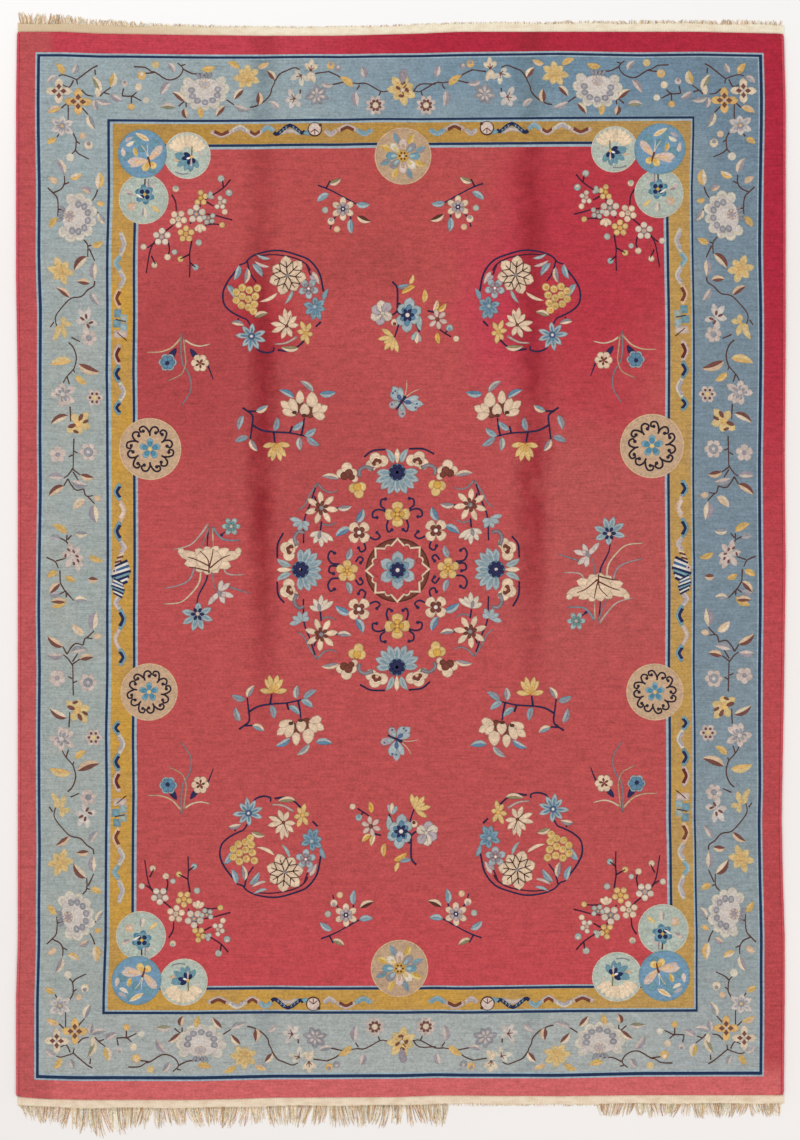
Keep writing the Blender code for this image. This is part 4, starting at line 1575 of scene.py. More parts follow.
def leaning_spray(pen):
    """Blades, a star flower and two tulips, in the upper left quarter."""
    stem(pen, (-80-88j, -88-76j, -93-66j, -99-61j), 2.2, "dove", 0.6, 4)
    stem(pen, (-80-88j, -73-81j, -66-79j, -60-81j), 2.2, "dove", 0.5, 4)
    stem(pen, (-76-47.5j, -68-46j, -61-49j), 2.2, "dove", 0.5, 4)
    stem(pen, (-82-84j, -87-68j, -93-52j, -94-28j), 1.6, "navy", 0.9, 4)
    stem(pen, (-83-75j, -80-66j), 1.5, "plum", 1.0, 4)
    stem(pen, (-76-50j, -77-41j), 1.6, "navy", 1.0, 4)
    stem(pen, (-66-63j, -58-63.5j), 1.5, "navy", 1.0, 4)
    leaf(pen, -60-63.4j, -45.5-65j, 6, "ivory", "dove")
    fan(pen, -95-50j, (-108-53j, -105-45.5j, -99-40j, -90-40j, -88-46j), 5.5, "mist", 0.3)
    fan(pen, -77-40j, (-88-35j, -84-27.5j, -76-23.5j, -70-28j, -64-30j), 5.6, "ivory", 0.3)
    petal(pen, -77-41j, -79-32j, 4, "dove", 0.3)
    bloom(pen, -76-63.4j, 17, 7, "cream", 0.62, 0.25, -95)
    bloom(pen, -76-63.4j, 7.4, 6, "brown", 0.8, 0.5, -80)
    disc(pen, -76-63.4j, 2.4, "dove", 8)


try_out(lotus_head, rim_cloud, leaning_spray)

# %% [markdown]
# Now the pen is set down at the middle of the medallion, which lies a little to
# the left of the rug's own, and the parts are drawn from the star outward.

# %% Setting the medallion
MEDALLION = charted(397.6 + 570.2j)
pen = Pen().at(MEDALLION)
heart_of_medallion(pen)
knot("medallion_star", pen)

pen = Pen().at(MEDALLION)
for flips in QUARTERS.values():
    slanting_blossom(pen.moved(0, 0, *flips))
for flip in (False, True):
    upright_blossom(pen.moved(0, 0, False, flip))
for flip in (False, True):
    sideways_blossom(pen.moved(0, 0, flip, False))
knot("medallion_blossoms", pen, seed=2)

for quarter, (flip_x, flip_y) in QUARTERS.items():
    pen = Pen().at(MEDALLION)
    rim_cloud(pen.moved(0, 0, flip_x, flip_y))
    leaning_spray(pen.moved(0, -3 if flip_x else 0, flip_x, flip_y))
    knot(f"medallion_rim_{quarter}", pen, seed=3)
for name, place, turn in (("upper", -98j, 0), ("lower", 97j, 180), ("left", -97-1.5j, -90),
                          ("right", 98.5+1j, 90)):
    pen = Pen().at(MEDALLION)
    lotus_head(pen.at(place, turn))
    knot(f"medallion_lotus_{name}", pen, seed=4)

# %% [markdown]
# ## The cloud band
# The gold border carries a wavering band of small hills and clouds. Each rise
# is a bow of light yarn with a darker one inside it, now to one side of the
# band and now to the other, with a shell, some checked boxes and a striped knot
# between them. A run is written as a row of rises, so its rhythm can be read.

# %% Rises of the band
RISE_REACH, RISE_WIDTH = 4.6, 4.2  # squares


def rise(pen, start, length, side, light, dark=None):
    """A bow from start along the band, to the side of it (1 or -1)."""
    reach, slim = side * RISE_REACH, side * RISE_WIDTH
    points = (start, start + 0.25 * length + 0.62j * reach, start + 0.5 * length + 1j * reach,
              start + 0.75 * length + 0.62j * reach, start + length)
    stem(pen, points, RISE_WIDTH, light, 0.9, 3)
    if dark:
        inner = [p + share * length - 0.42j * slim
                 for p, share in zip(points, (0.06, 0.06, 0, -0.06, -0.06))]
        run = np.concatenate([smooth_line(points, 4)[2:-2],
                              smooth_line(inner, 4)[2:-2][::-1] - 0.30j * slim])
        patch(pen, run, dark, points[2] - 0.34j * slim)


def rises(pen, *rows):
    """Rows of start, length, side, dye and perhaps a darker inner dye."""
    for row in rows:
        rise(pen, *row)


def striped_knot(pen, place, width, height, turn):
    """Slanting stripes of navy, white and blue, tied as one knot."""
    dyes = ("navy", "white", "steel", "white", "navy", "sky", "navy", "white", "navy")
    for k, dye in enumerate(dyes):
        x = place + (k - 4) * width / 8.5
        reach = height / 2 * (1 - 0.35 * abs(k - 4) / 4)
        lean = 3.0 * turn
        stem(pen, (x - lean - 1j * reach, x, x + lean + 1j * reach), width / 8.0, dye, 1.0, 2)


def upper_band(pen):
    """From a corner roundel to the end roundel, along the end."""
    rises(pen, (4, 21, 1, "rose", "brown"), (25, 16, -1, "ivory", "lilac"),
          (41, 14, 1, "rose", "brown"), (55, 12, -1, "line", "sky"), (118, 12, 1, "rose", "lilac"),
          (131, 19, -1, "rose", "brown"), (150, 16, 1, "line", "sky"))
    for k, dye in enumerate(("mist", "rose")):
        stem(pen, (72 + 3 * k + 2j, 83+0j, 94 - 3 * k + 3j), 4.6 - k, dye, 0.8, 3)
    stem(pen, (67+1.5j, 71+3j, 83-5.5j, 95+2.5j, 98+0j), 3.8, "navy", 0.9, 3)
    for start in (73.5+1.2j, 76.5-1.2j, 79.5-3.2j, 86.5-3.2j, 89.5-1.2j, 92.5+1.0j):
        for lean in (-0.9, 0.9):
            stem(pen, (start + lean - 1.3j, start - lean + 1.3j), 0.5, "line", 1.0, 2)
    stem(pen, (98+1j, 101+3j, 105+0j), 5.0, "sky", 0.7, 3)
    disc(pen, 108-1j, 7.2, "cocoa", 16)
    disc(pen, 108-1.4j, 6.2, "rose", 16)
    for angle in (40, 90, 140):
        stem(pen, (108-1.4j, 108 - 1.4j + 5.4 * np.exp(1j * math.radians(angle))), 0.9, "brown",
             1.0, 2)
    disc(pen, 113.5-5.5j, 1.6, "cocoa", 8)


def side_band(pen):
    """From a corner roundel to the next roundel, down the side."""
    rises(pen, (4, 24, -1, "ivory", "lilac"), (28, 14, 1, "mist", "sky"),
          (42, 18, -1, "ivory", "lilac"), (60, 20, 1, "peach", "brown"),
          (116, 21, 1, "rose", "maroon"), (137, 17, 1, "sky", "navy"),
          (154, 19, -1, "ivory", "lilac"), (173, 13, 1, "sky", "navy"))
    for place, dye, size in ((85+2j, "sky", 7.5), (90-4j, "pale", 7.5), (95+3j, "sky", 8),
                             (99-4j, "mist", 7)):
        stem(pen, (place - 4, place + 4), size, dye, 1.0, 3)
    stem(pen, (91+4j, 92, 93-6j), 1.2, "cocoa", 1.0, 3)
    stem(pen, (105+6j, 106, 105-7j), 7.5, "rose", 0.9, 3)
    for k in range(4):
        stem(pen, (104 + 2.0 * k + 2.5j - 2.2j * k, 107 + 1.6 * k - 0.5j - 2.2j * k), 0.9, "cocoa",
             1.0, 2)


def middle_band(pen):
    """Between the two roundels of a side, with the striped knot."""
    rises(pen, (4, 16, 1, "sky", "navy"), (20, 22, -1, "peach", "rose"), (42, 19, 1, "sky", "navy"),
          (61, 13, -1, "rose", "lilac"), (116, 13, 1, "blush", "lilac"),
          (129, 20, -1, "sky", "navy"), (149, 20, 1, "rose"), (169, 16, -1, "sky", "navy"))
    for k, dye in enumerate(("cream", "brown", "cream", "brown", "cream")):
        stem(pen, (74 + 2.3 * k - 4j + 1.0j * k, 76 + 2.3 * k + 2j + 1.0j * k), 2.0, dye, 1.0, 2)
    striped_knot(pen, 94 - 1j, 22, 19, 1)
    striped_knot(pen, 108 + 2j, 15, 13, -0.8)
    disc(pen, 91+6j, 2.4, "rose", 8)
    disc(pen, 91+6j, 1.1, "maroon", 7)


try_out(upper_band, side_band, middle_band)

# %% [markdown]
# Two lengths start at each corner roundel, one along the end and one down the
# side, and a third fills the long sides between their two roundels.

# %% Laying the band in the gold border
# Its first entry sets how dark the painted shade at each motif's rim is
BAND_WOOL = {"rim_painted_shade": 0.75, "run": 0}
for quarter, flips in QUARTERS.items():
    for part, anchor, turn in ((upper_band, 207+131.5j, 0), (side_band, 120.5+228j, 90)):
        pen = quarter_pen(anchor, *flips)
        part(pen.at(anchor, turn))
        knot(f"{part.__name__}_{quarter}", pen, seed=21, **BAND_WOOL)
for name, anchor, flips in (("left", 120+480j, (False, False)), ("right", 120+480j, (True, False))):
    pen = quarter_pen(anchor, *flips)
    middle_band(pen.at(anchor, 90))
    knot(f"middle_band_{name}", pen, seed=22, **BAND_WOOL)

# %% [markdown]
# ## Roundels
# Twelve small discs overlap each other in the corners, four more sit on the
# long sides and two at the ends. Each has its own ground: pale aqua with a blue
# flower, deep blue with a butterfly, or sand with scrolls round a blue flower.
# The two at the ends carry a plain rosette in the same soft colours.

# %% The pale and the deep blue roundels
def pale_roundel(pen, radius, upper):
    """A pale ground with an ivory edge."""
    disc(pen, 0, radius, "ivory", 36)
    disc(pen, 0, radius - 0.9, "pale", 36)
    for k in range(-4, 5):  # the upper part pales towards its rim
        way = np.exp(1j * math.radians(-90 + 15 * k))
        petal(pen, way * radius * 0.30, way * (radius - 1.5), 6.4, upper, 0.6)


def pansy_roundel(pen, radius):
    """A deep blue flower hanging to the lower left, with dark inner petals."""
    pale_roundel(pen, radius, "cream")
    stem(pen, (4.8-9j, 4.6-4j, 4.4+1j), 1.3, "olive", 1.0, 3)
    fan(pen, 4.2+1.5j, (-13-1j, -12+2j, -10.5+11j, -3+15j, 3+16.5j, 11+12.5j), 6.2, "steel_aqua",
        0.4)
    fan(pen, 4+1.5j, (-3.5-2.5j, -6+3.5j, 0.5+9.5j, 7.5+8j), 4.6, "navy", 0.45)
    petal(pen, 4+2j, -1+3.5j, 2.2, "white", 0.4)
    petal(pen, 4+2j, 4+12j, 2.0, "rose", 0.4)
    disc(pen, 4.2+1.6j, 1.7, "amber", 7)
    stem(pen, (-12+16.5j, -6+18.5j, 1+18j), 1.2, "dove", 0.8, 3)
    petal(pen, -15+4.5j, -8+5.5j, 2.6, "peach", 0.4)
    petal(pen, 12+1j, 15-4j, 2.4, "rose", 0.4)


def blossom_roundel(pen, radius):
    """A round blue blossom with a navy cross and some loose petals."""
    pale_roundel(pen, radius, "pale")
    stem(pen, (1.4-20j, 0.8-8j), 1.5, "cocoa", 1.0, 3)
    stem(pen, (5-20j, 4.4-9j), 1.5, "mauve", 1.0, 3)
    petal(pen, 6-16j, 11-10j, 3.0, "rose", 0.4)
    bloom(pen, 1-4.5j, 10.2, 6, "blue", 0.9, 0.8, 20)
    disc(pen, 1-4.5j, 7.6, "sky", 14)
    bloom(pen, 1-4.5j, 6.2, 4, "navy", 0.8, 0.8, 45)
    disc(pen, 1-4.5j, 1.8, "gold", 8)
    petal(pen, 0, -8-5j, 2.2, "white", 0.3)
    petal(pen, -10-3j, -19-9j, 5, "rose", 0.7)
    petal(pen, -11-4j, -17-5.5j, 2.6, "mauve", 0.5)
    disc(pen, -11.5+7.5j, 4.4, "peach", 10)
    disc(pen, -10.5+8.5j, 2.2, "rose", 8)
    petal(pen, 1+7j, 3+19j, 5, "ivory", 0.6)
    petal(pen, 0+9j, -0.5+17j, 2.2, "mauve", 0.4)
    petal(pen, 8+6j, 16+13j, 4.4, "straw", 0.6)


def butterfly_roundel(pen, radius):
    """A butterfly seen from above on a deep blue ground."""
    disc(pen, 0, radius, "sky", 36)
    disc(pen, 0, radius - 1.1, "deep_blue", 36)
    for place, size in ((-6-14j, 5), (12-10j, 5), (-14+3j, 5), (9+15j, 4.5), (0-6j, 4.6)):
        disc(pen, place, size, "steel_aqua", 12)
    petal(pen, -7-21j, 7-13j, 5.5, "cream", 0.5)
    petal(pen, -5-19.5j, 6-13.5j, 2.4, "straw", 0.5)
    petal(pen, -9-17j, -18-12j, 4.6, "lilac", 0.5)
    petal(pen, -20-6.5j, -18.5+3j, 5.2, "rose", 0.7)
    leaf(pen, -17-8j, -8-13j, 4.2, "ivory")
    leaf(pen, -8-6.5j, -4.5+3j, 4.6, "straw", "gold")
    for tip, width in ((20-8.5j, 9), (-15.5+8j, 9.5), (-13+13j, 5)):
        petal(pen, 6.5+7j, tip, width, "rose", 0.7)
    for tip, width in ((16-3j, 4.4), (-10+9j, 4.6)):
        petal(pen, 6.5+7j, tip, width, "peach", 0.7)
    fan(pen, 7+8.5j, (0.5+17j, 13.5+14j), 8, "straw", 0.8, (0.6, 4, "amber", 0.8))
    stem(pen, (5.5+3j, 7+8j, 8+13j), 2.2, "brown", 0.6, 3)
    stem(pen, (5.5+3j, 3-3j, -1-8.5j), 0.9, "ivory", 0.8, 3)
    stem(pen, (6+3j, 5-4j, 5-9j), 0.9, "ivory", 0.8, 3)


try_out(pansy_roundel, blossom_roundel, butterfly_roundel, radius=25)

# %% [markdown]
# The side roundels carry six pairs of dark scrolls. The rosette of the two end
# roundels has eight petals with a small leaf between each two.

# %% The sand-coloured roundels
def scroll_roundel(pen, radius, turn=0):
    """Pairs of dark scrolls round a small blue flower, on sand."""
    disc(pen, 0, radius, "peach", 40)
    disc(pen, 0, radius - 1.0, "sand", 40)
    for k in range(6):
        side = pen.at(0, turn=turn + 60 * k)
        stem(side, (-13j, -18j), 1.9, "ink", 1.0, 2)
        scroll(side, -15.5j, -2.8-20j, -6.4-22.6j, -10.2-20.6j, -9.2-17j, -6.6-17.8j, width=1.9,
               dye="ink")
        scroll(side, -17.5j, 2.6-21.6j, 6.6-21.8j, 8.6-18j, 5.8-16.2j, width=1.9, dye="ink")
    bloom(pen, 0, 11, 5, "sky", 0.82, 0.9, -90, inner="blue", inner_share=0.74)
    disc(pen, 0, 2.3, "straw", 8)


def rosette_roundel(pen, radius):
    """A plain eight-petalled rosette with small leaves, on sand."""
    disc(pen, 0, radius, "peach", 40)
    disc(pen, 0, radius - 1.0, "sand", 40)
    for k in range(8):
        way = np.exp(1j * math.radians(45 * k + 22.5))
        leaf(pen, way * 13, way * (radius - 3.5), 6.2, *(("dove",
                "steel_aqua") if k % 2 else ("straw", "gold")))
    for k in range(8):
        way = np.exp(1j * math.radians(45 * k))
        petal(pen, way * 5, way * 17.5, 8.6, ("steel_aqua", "ivory", "rose", "dove")[k % 4], 0.8)
        petal(pen, way * 5, way * 12.5, 3.6, ("mist", "straw", "sand", "mist")[k % 4], 0.7)
    disc(pen, 0, 5.6, "gold", 12)
    beads(pen, 0, 6, 3.3, 1.2, "brown", 7)
    disc(pen, 0, 1.6, "rose", 8)


try_out(scroll_roundel, rosette_roundel, radius=31)

# %% [markdown]
# The roundels are set down at their own places, measured one by one, since no
# two corners are alike.

# %% Placing the roundels
# Middle and radius of the roundel towards the end's middle, of the one towards
# the side's middle, and of the deep blue one that lies over both
CORNER_ROUNDELS = (
    ((187.3+155.4j, 23.4), (143.6+199j, 25), (142.4+153.8j, 24.5)),
    ((614.4+149.3j, 23.2), (659+193.5j, 24.7), (660+149j, 25.6)),
    ((183.7+982j, 23.6), (140.8+935.7j, 24.8), (136.5+980.3j, 24.6)),
    ((617.3+977j, 24.8), (663.5+929.3j, 25), (664.5+976j, 25.4)))
SIDE_RADIUS, END_RADIUS = 31, 28.5
# Its first entry sets how dark the painted shade at each motif's rim is
ROUNDEL_WOOL = {"rim_painted_shade": 0.80, "run": 0}
for (quarter, flips), group in zip(QUARTERS.items(), CORNER_ROUNDELS):
    pen = Pen()
    for part, (place, radius) in zip((pansy_roundel, blossom_roundel, butterfly_roundel), group):
        part(pen.moved(0, charted(place), *flips), radius)
    knot(f"roundels_{quarter}", pen, seed=5, **ROUNDEL_WOOL)
for name, place, size, turn in (("left_upper", 150+449j, 31, 0), ("right_upper", 652+446j, 32, 25),
                                ("left_lower", 149+692j, 28.5, 40),
                                ("right_lower", 655+692j, 28.5, 10)):
    pen = Pen()
    scroll_roundel(pen.at(charted(place), size=size / SIDE_RADIUS), SIDE_RADIUS, turn)
    knot(f"roundel_{name}", pen, seed=6, **ROUNDEL_WOOL)
for name, place in (("upper", 403+156j), ("lower", 399.5+968.5j)):
    pen = Pen()
    rosette_roundel(pen.at(charted(place)), END_RADIUS)
    knot(f"roundel_{name}_end", pen, seed=7, **ROUNDEL_WOOL)

# %% [markdown]
# ## Wreaths
# Four open rings of flowers stand round the medallion. Each holds a large cream
# blossom, grapes, a blue cluster and blades, closed by a dark stem. One is
# charted, and the pen turns it over for the others.

# %% The wreath
def wreath(pen):
    for line, width, dye in (((480+291j, 484+273j, 494+260j, 508+254j, 524+250j, 540+251.5j,
                               552+256j, 558+262j, 564+264j), 1.8, "navy"),
                             ((493+270j, 497+264j, 505+259j, 515+256j, 530+254j, 546+255j), 1.5,
                              "plum"),
                             ((566+268j, 575+280j, 580+291j, 579+303j, 572+310.5j, 562+316j,
                               556+319j, 551+329j), 1.8, "navy"),
                             ((549+342j, 545+349j, 537+351.5j, 530.5+350j, 530+346j), 1.9, "navy"),
                             ((483+321j, 488+326j), 2.0, "navy"),
                             ((500+340j, 505+345j), 2.0, "navy"),
                             ((497+264j, 493+275j, 490+284j), 1.6, "plum"),
                             ((556+261j, 553+272j, 547+281j), 1.6, "navy"),
                             ((565+317j, 566+322j), 1.5, "plum"),
                             ((526+349j, 515+350j, 505+345j), 2.0, "navy")):
        stem(pen, line, width, dye, 0.8, 4)
    leaves(pen, (533+258j, 547+253.5j, 3.2, "mist"), (534+266j, 549+260j, 3.2, "rose"),
           (511+289j, 519+303j, 3.6, "aqua"), (526+292j, 544+300.5j, 3.6, "cream"),
           (551+263j, 541+276j, 6.0, "sky", "mist"), (556+267j, 558.5+283j, 6.0, "cream", "dove"),
           (564+264j, 569+279j, 6, "sky", "mist"), (576+284j, 568+298j, 6.0, "sky", "mist"),
           (549+316j, 535.5+312j, 6.0, "cream", "olive"),
           (572+321.5j, 559+324j, 5.5, "dove", "cream"), (505+347j, 523+346j, 6, "cream", "olive"),
           (480+300j, 475+288j, 5, "sky"))
    petal(pen, 484+284j, 491+271j, 5.5, "rose", 0.3)
    petal(pen, 486+282j, 494+275j, 4.5, "lilac", 0.3)
    bloom(pen, 495+288j, 10.5, 5, "mist", 0.85, 0.6, 20, inner="dove", inner_share=0.6,
          heart="white", heart_share=0.14)
    fan(pen, 489+306j, (479+300j, 478.5+309j, 483+319j, 491+319j, 498+313j, 500+303j, 488+296j),
        6.4, "sky", 0.3, (0.7, 2.4, "blue", 0.2))
    disc(pen, 489+306j, 2.2, "mist", 8)
    heart = 516+275j
    for k in range(7):
        way = np.exp(1j * math.radians(-84 + 51.4 * k))
        petal(pen, heart, heart + way * (20, 17.5, 19)[k % 3], 13, "cream", 0.55)
        petal(pen, heart + way * 4, heart + way * (1 + 0.24j) * (17, 15, 16)[k % 3], 7, "cream",
              0.3)
    for k in range(7):
        way = np.exp(1j * math.radians(-84 + 51.4 * k))
        stem(pen, (heart + way * 2, heart + way * 14), 1.1, "cocoa", 0.6, 2)
        for lean in (-0.42, 0.42):
            stem(pen, (heart + way * 8, heart + way * np.exp(1j * lean) * 14.5), 1.0, "cocoa", 0.6,
                 2)
    disc(pen, heart, 1.8, "dove", 8)
    for berry in (548+295j, 549+303j, 554+289j, 555+298j, 555+306j, 561+286.5j, 561+295j, 562+304j,
                  567+291j, 567+299j, 550+310j, 546+287j):
        disc(pen, berry, 4.0, "straw", 10)
        disc(pen, berry + 0.6 + 0.6j, 1.7, "gold", 7)
    fan(pen, 517+325j,
        (507+315j, 513+309j, 519+307j, 525+314j, 533+322j, 532+331j, 522+338j, 512+336j, 505+324j),
        5.4, "cream", 0.1)
    for tip in (513+314j, 525+320j, 524+331j):
        stem(pen, (517+325j, tip), 1.0, "brown", 0.5, 2)
    disc(pen, 517+325j, 1.8, "brown", 8)
    fan(pen, 498+332j, (503+320j, 507+330j, 503+340j, 496+344j, 491+334j, 493+322j), 5.2, "straw",
        0.2)
    disc(pen, 498+332j, 2.4, "amber", 8)
    stem(pen, (507+336j, 518+342j, 529+343j), 2.8, "rose", 0.5, 4)
    fan(pen, 552+335j,
        (538+330j, 538+340j, 545+348j, 554+351j, 561+345j, 568+334j, 561+325j, 551+322j), 5.6,
        "mist", 0.12, (0.72, 2.2, "blue", 0.1))
    disc(pen, 552+335j, 3.4, "steel", 10)
    disc(pen, 552+335j, 1.5, "white", 8)


WREATH_MIDDLE = 529+302j
try_out(wreath)
for name, place, flip_x, flip_y in (("upper_right", 529+302j, False, False),
                                    ("upper_left", 274.5+303.0j, True, False),
                                    ("lower_left", 271.5+845.5j, True, True),
                                    ("lower_right", 530+842.5j, False, True)):
    pen = Pen().moved(WREATH_MIDDLE, charted(place), flip_x, flip_y)
    wreath(pen)
    knot(f"wreath_{name}", pen, seed=8)

# %% [markdown]
# ## Branches in the field
# Between the large motifs lie loose branches: plum blossom in the corners,
# small sprays, lilies, morning glory on tall stems, and a water lily at each
# side. They are charted where they grow and mirrored to the other quarters.

# %% Plum blossom in the corners
def plum_blossom(pen, place, radius, dye, heart, turn=-90, petals=5):
    """Round petals on a heart; with four, the place of the fifth stays open."""
    for k in range(petals):
        way = np.exp(1j * math.radians(turn + 72 * k))
        disc(pen, place + way * radius * 0.66, radius * 0.37, dye, 9)
    disc(pen, place, radius * 0.32, heart, 8)
    disc(pen, place, radius * 0.14, "amber", 6)


def plum_branches(pen):
    stems(pen, 1.6, "plum", (171+195j, 175+202j, 176+211j),
          (230+180j, 223+188j, 211+196j, 200+203j), (232+220j, 224+218j, 217+216j, 206+214j),
          (166+231j, 171+227j, 176+222j), (200+205j, 197+212j, 190+224j),
          (158+238j, 153+245j, 150+254j, 147+273j), (192+241j, 190+254j, 190.5+263j, 190+277j),
          (223+188j, 222+181j), (206+202j, 213+206j), (155+243j, 148+248j),
          (168+240j, 170+250j, 168+256j), (190+254j, 181+259j), (190+262j, 196+267j),
          (205+225j, 213+224j, 222+225j), (152+256j, 156+264j))
    plum_blossom(pen, 178+219j, 9, "cream", "ivory", -60)
    plum_blossom(pen, 196+214j, 9.5, "ivory", "dove", -90)
    plum_blossom(pen, 186+234j, 8.5, "straw", "amber", -90)
    plum_blossom(pen, 162+237j, 9, "ivory", "lilac", -90)
    plum_blossom(pen, 200+198j, 8, "straw", "gold", -90, 4)
    plum_blossom(pen, 208.5+218j, 7, "pale", "dove", -30, 4)
    plum_blossom(pen, 219.5+203j, 7, "ivory", "rose", -90, 4)
    fan(pen, 200.5+224j, (195+231j, 200+233j, 205.5+231j), 5.5, "cream", 0.8)
    fan(pen, 209.5+199j, (207+194j, 210+191j, 213+196j), 5, "pale", 0.8)
    buds(pen, (175+189j, 3.4, "cream", "aqua"), (220.5+179j, 3.6, "pale"),
         (228.5+193j, 3.6, "aqua", "cream"), (222+225j, 3, "straw"), (224.5+212j, 3, "cream"),
         (199+242.5j, 3.4, "pale"), (196+267j, 3.2, "aqua"), (155+265j, 3.2, "cream"),
         (144+247j, 3.2, "ivory"), (181+259j, 3.2, "straw"), (168+257j, 3.4, "cream"),
         (175+252j, 2.8, "pale"))


try_out(plum_branches)

# %% [markdown]
# Small sprays stand beside the corner branches. On the long middle line a spray
# gathers a blue flower, a yellow lily and a fan of pale lobes, and below it
# grows the branch with a lily and a head of buds. A butterfly flies above and
# below the medallion.

# %% Small sprays and centre sprays
def small_spray(pen):
    stems(pen, 1.6, "navy", (318+185.5j, 325+188j, 334+192j, 345+198j),
          (345+198j, 354+203j, 362+207j), (338+214j, 333+220j, 330+229j), (350+215j, 352+226j),
          (326+188.5j, 330+181j))
    leaves(pen, (329+184j, 341+178.5j, 6, "cream", "olive"),
           (329+194j, 317+202j, 6.5, "mist", "sky"), (356+204j, 370+205j, 6.5, "mist", "sky"),
           (351+219j, 352+234j, 6.5, "mist", "sky"), (357+216j, 371+222j, 6.5, "cream", "cocoa"))
    buds(pen, (331+221j, 3.8, "cream", "lilac"), (337+229j, 3.4, "peach"), (325+210j, 3.4, "pale"))
    bloom(pen, 343+209j, 12, 6, "cream", 0.85, 0.8, -90, inner="lilac", inner_share=0.6)
    disc(pen, 343+209j, 2.6, "navy", 8)
    disc(pen, 343+209j, 1.2, "white", 7)


def centre_spray(pen):
    stems(pen, 2.0, "navy", (416+865j, 411+858j, 411+836j, 407.5+832j, 410+822j, 414+810j),
          (411+836j, 415.5+832.5j, 421+832.5j), (410+843.5j, 406+840.5j), (372.5+833j, 381+835j),
          (392+822j, 389+814j))
    stems(pen, 1.6, "plum", (357.5+808j, 366+813.5j, 370.5+817j), (363+812j, 360+816j))
    leaves(pen, (371+813j, 369+801j, 5.5, "amber", "gold"),
           (371+834j, 362+842j, 5.5, "straw", "gold"), (375+834j, 371+846j, 5.5, "straw", "cream"),
           (385+843j, 384+857j, 6, "straw", "amber"), (393+860j, 407+852.5j, 6, "gold", "amber"),
           (399+862j, 395+872j, 4.5, "straw"), (388+830j, 388+815j, 6, "aqua"),
           (411+860j, 399+862j, 5, "dove", "sky"))
    buds(pen, (359+817j, 3.6, "aqua", "sky"), (352.5+806j, 3.2, "cream"),
         (414+824.5j, 3.8, "cream", "brown"))
    fan(pen, 415+810.5j, (411+794j, 417+796j, 424.5+797j, 425+804j, 431+808j, 427+818.5j), 5.4,
        "straw", 0.3)
    for tip in (388+804j, 392+802.5j, 397+806j):
        petal(pen, 392+815j, tip, 5, {388: "lilac", 392: "cream", 397: "aqua"}[int(tip.real)], 0.5)
    for lobe, dye in ((430+822j, "lilac"), (438+829j, "ivory"), (437+840j, "lilac"),
                      (428+847j, "ivory"), (418+844j, "lilac"), (417+828j, "ivory")):
        petal(pen, 426+834j, lobe, 10.5, dye, 0.8)
        stem(pen, (426+834j, 426 + 834j + 0.6 * (lobe - 426 - 834j)), 1.0, "mauve", 0.6, 2)
    disc(pen, 426+834j, 2.2, "ivory", 8)
    bloom(pen, 371+826j, 10.5, 6, "rose", 0.72, 0.4, -100, heart="brown", heart_share=0.22)
    fan(pen, 401+831.5j, (402+814j, 411.5+823j, 409+842j, 398+849j, 387+838j, 389.5+825j), 12,
        "mist", 0.8)
    fan(pen, 401+831.5j, (402+820j, 408+826.5j, 406+839j, 398.5+842.5j, 391+836.5j, 393+827.5j),
        6.5, "blue", 0.7)
    for k in range(6):
        way = np.exp(1j * math.radians(-60 + 60 * k))
        petal(pen, 401+831.5j, 401 + 831.5j + way * 7, 4, "navy", 0.6)
    disc(pen, 401+831.5j, 2.3, "white", 8)


def lily_branch(pen):
    """A branch with a yellow lily and a cream and brown flower head."""
    stems(pen, 2.0, "navy", (243+407.5j, 248+411j, 253+416j, 252+428j, 250.6+439j),
          (253+425j, 262+430j, 273.6+432j, 290+433j, 306.5+436.6j), (273.6+432j, 275+442j),
          (248+411j, 256+411j), (290+433j, 292+426j), (301+436j, 303+427j, 304+418j))
    leaves(pen, (244+415j, 239+430j, 6.5, "dove", "mist"), (249+437j, 235+442j, 6.5, "dove", "sky"),
           (250.6+439j, 258+451j, 6.5, "cream", "dove"), (256+411j, 268+405j, 6.5, "cream", "sky"),
           (274+431j, 277+417j, 6.5, "sky", "dove"), (292+430j, 303+421j, 6, "mist", "sky"),
           (304+436j, 316+428j, 6.5, "mist", "sky"), (306.5+436.6j, 320+446j, 6.5, "dove", "sky"),
           (300+437j, 301+451j, 6.5, "pale", "dove"), (294+398j, 279+390j, 6, "blue", "mist"),
           (313+392j, 300+381j, 6, "pale", "dove"), (319+393.5j, 336+392j, 7, "mist", "blue"))
    fan(pen, 276.5+443.5j, (263+446.5j, 268+457.5j, 272+461.5j, 281+461.5j, 286+457j, 290.5+446j),
        5.8, "straw", 0.35, (0.5, 2.6, "amber", 0.4))
    for place, radius in ((299+406j, 4.6), (311+409j, 5.0), (295+411j, 4.0), (310+414j, 4.2),
                          (304+411j, 5.0)):
        disc(pen, place, radius, "brown", 10)
    for base, tip, width in ((296+414j, 280.5+401j, 9), (297+414j, 290+398j, 9.5),
                             (296+415.5j, 282+410j, 8.5), (312.5+415j, 327.5+406j, 9),
                             (312+413j, 320.5+403.5j, 8.5), (312+414j, 325+417.5j, 9.5)):
        petal(pen, base, tip, width, "cream", 0.7)  # the two open cups
    for tip, foot, width in ((299.7+390j, 299.7+404j, 9.5), (311.5+391.5j, 312+407.5j, 13.5),
                             (304.5+403j, 304.5+416j, 11.5)):
        petal(pen, tip, foot, width, "cream", 0.8)  # the three buds, pointed at the top
    for place in (294.3+412.5j, 304+415.5j):
        disc(pen, place, 2.6, "cocoa", 9, 0.7)


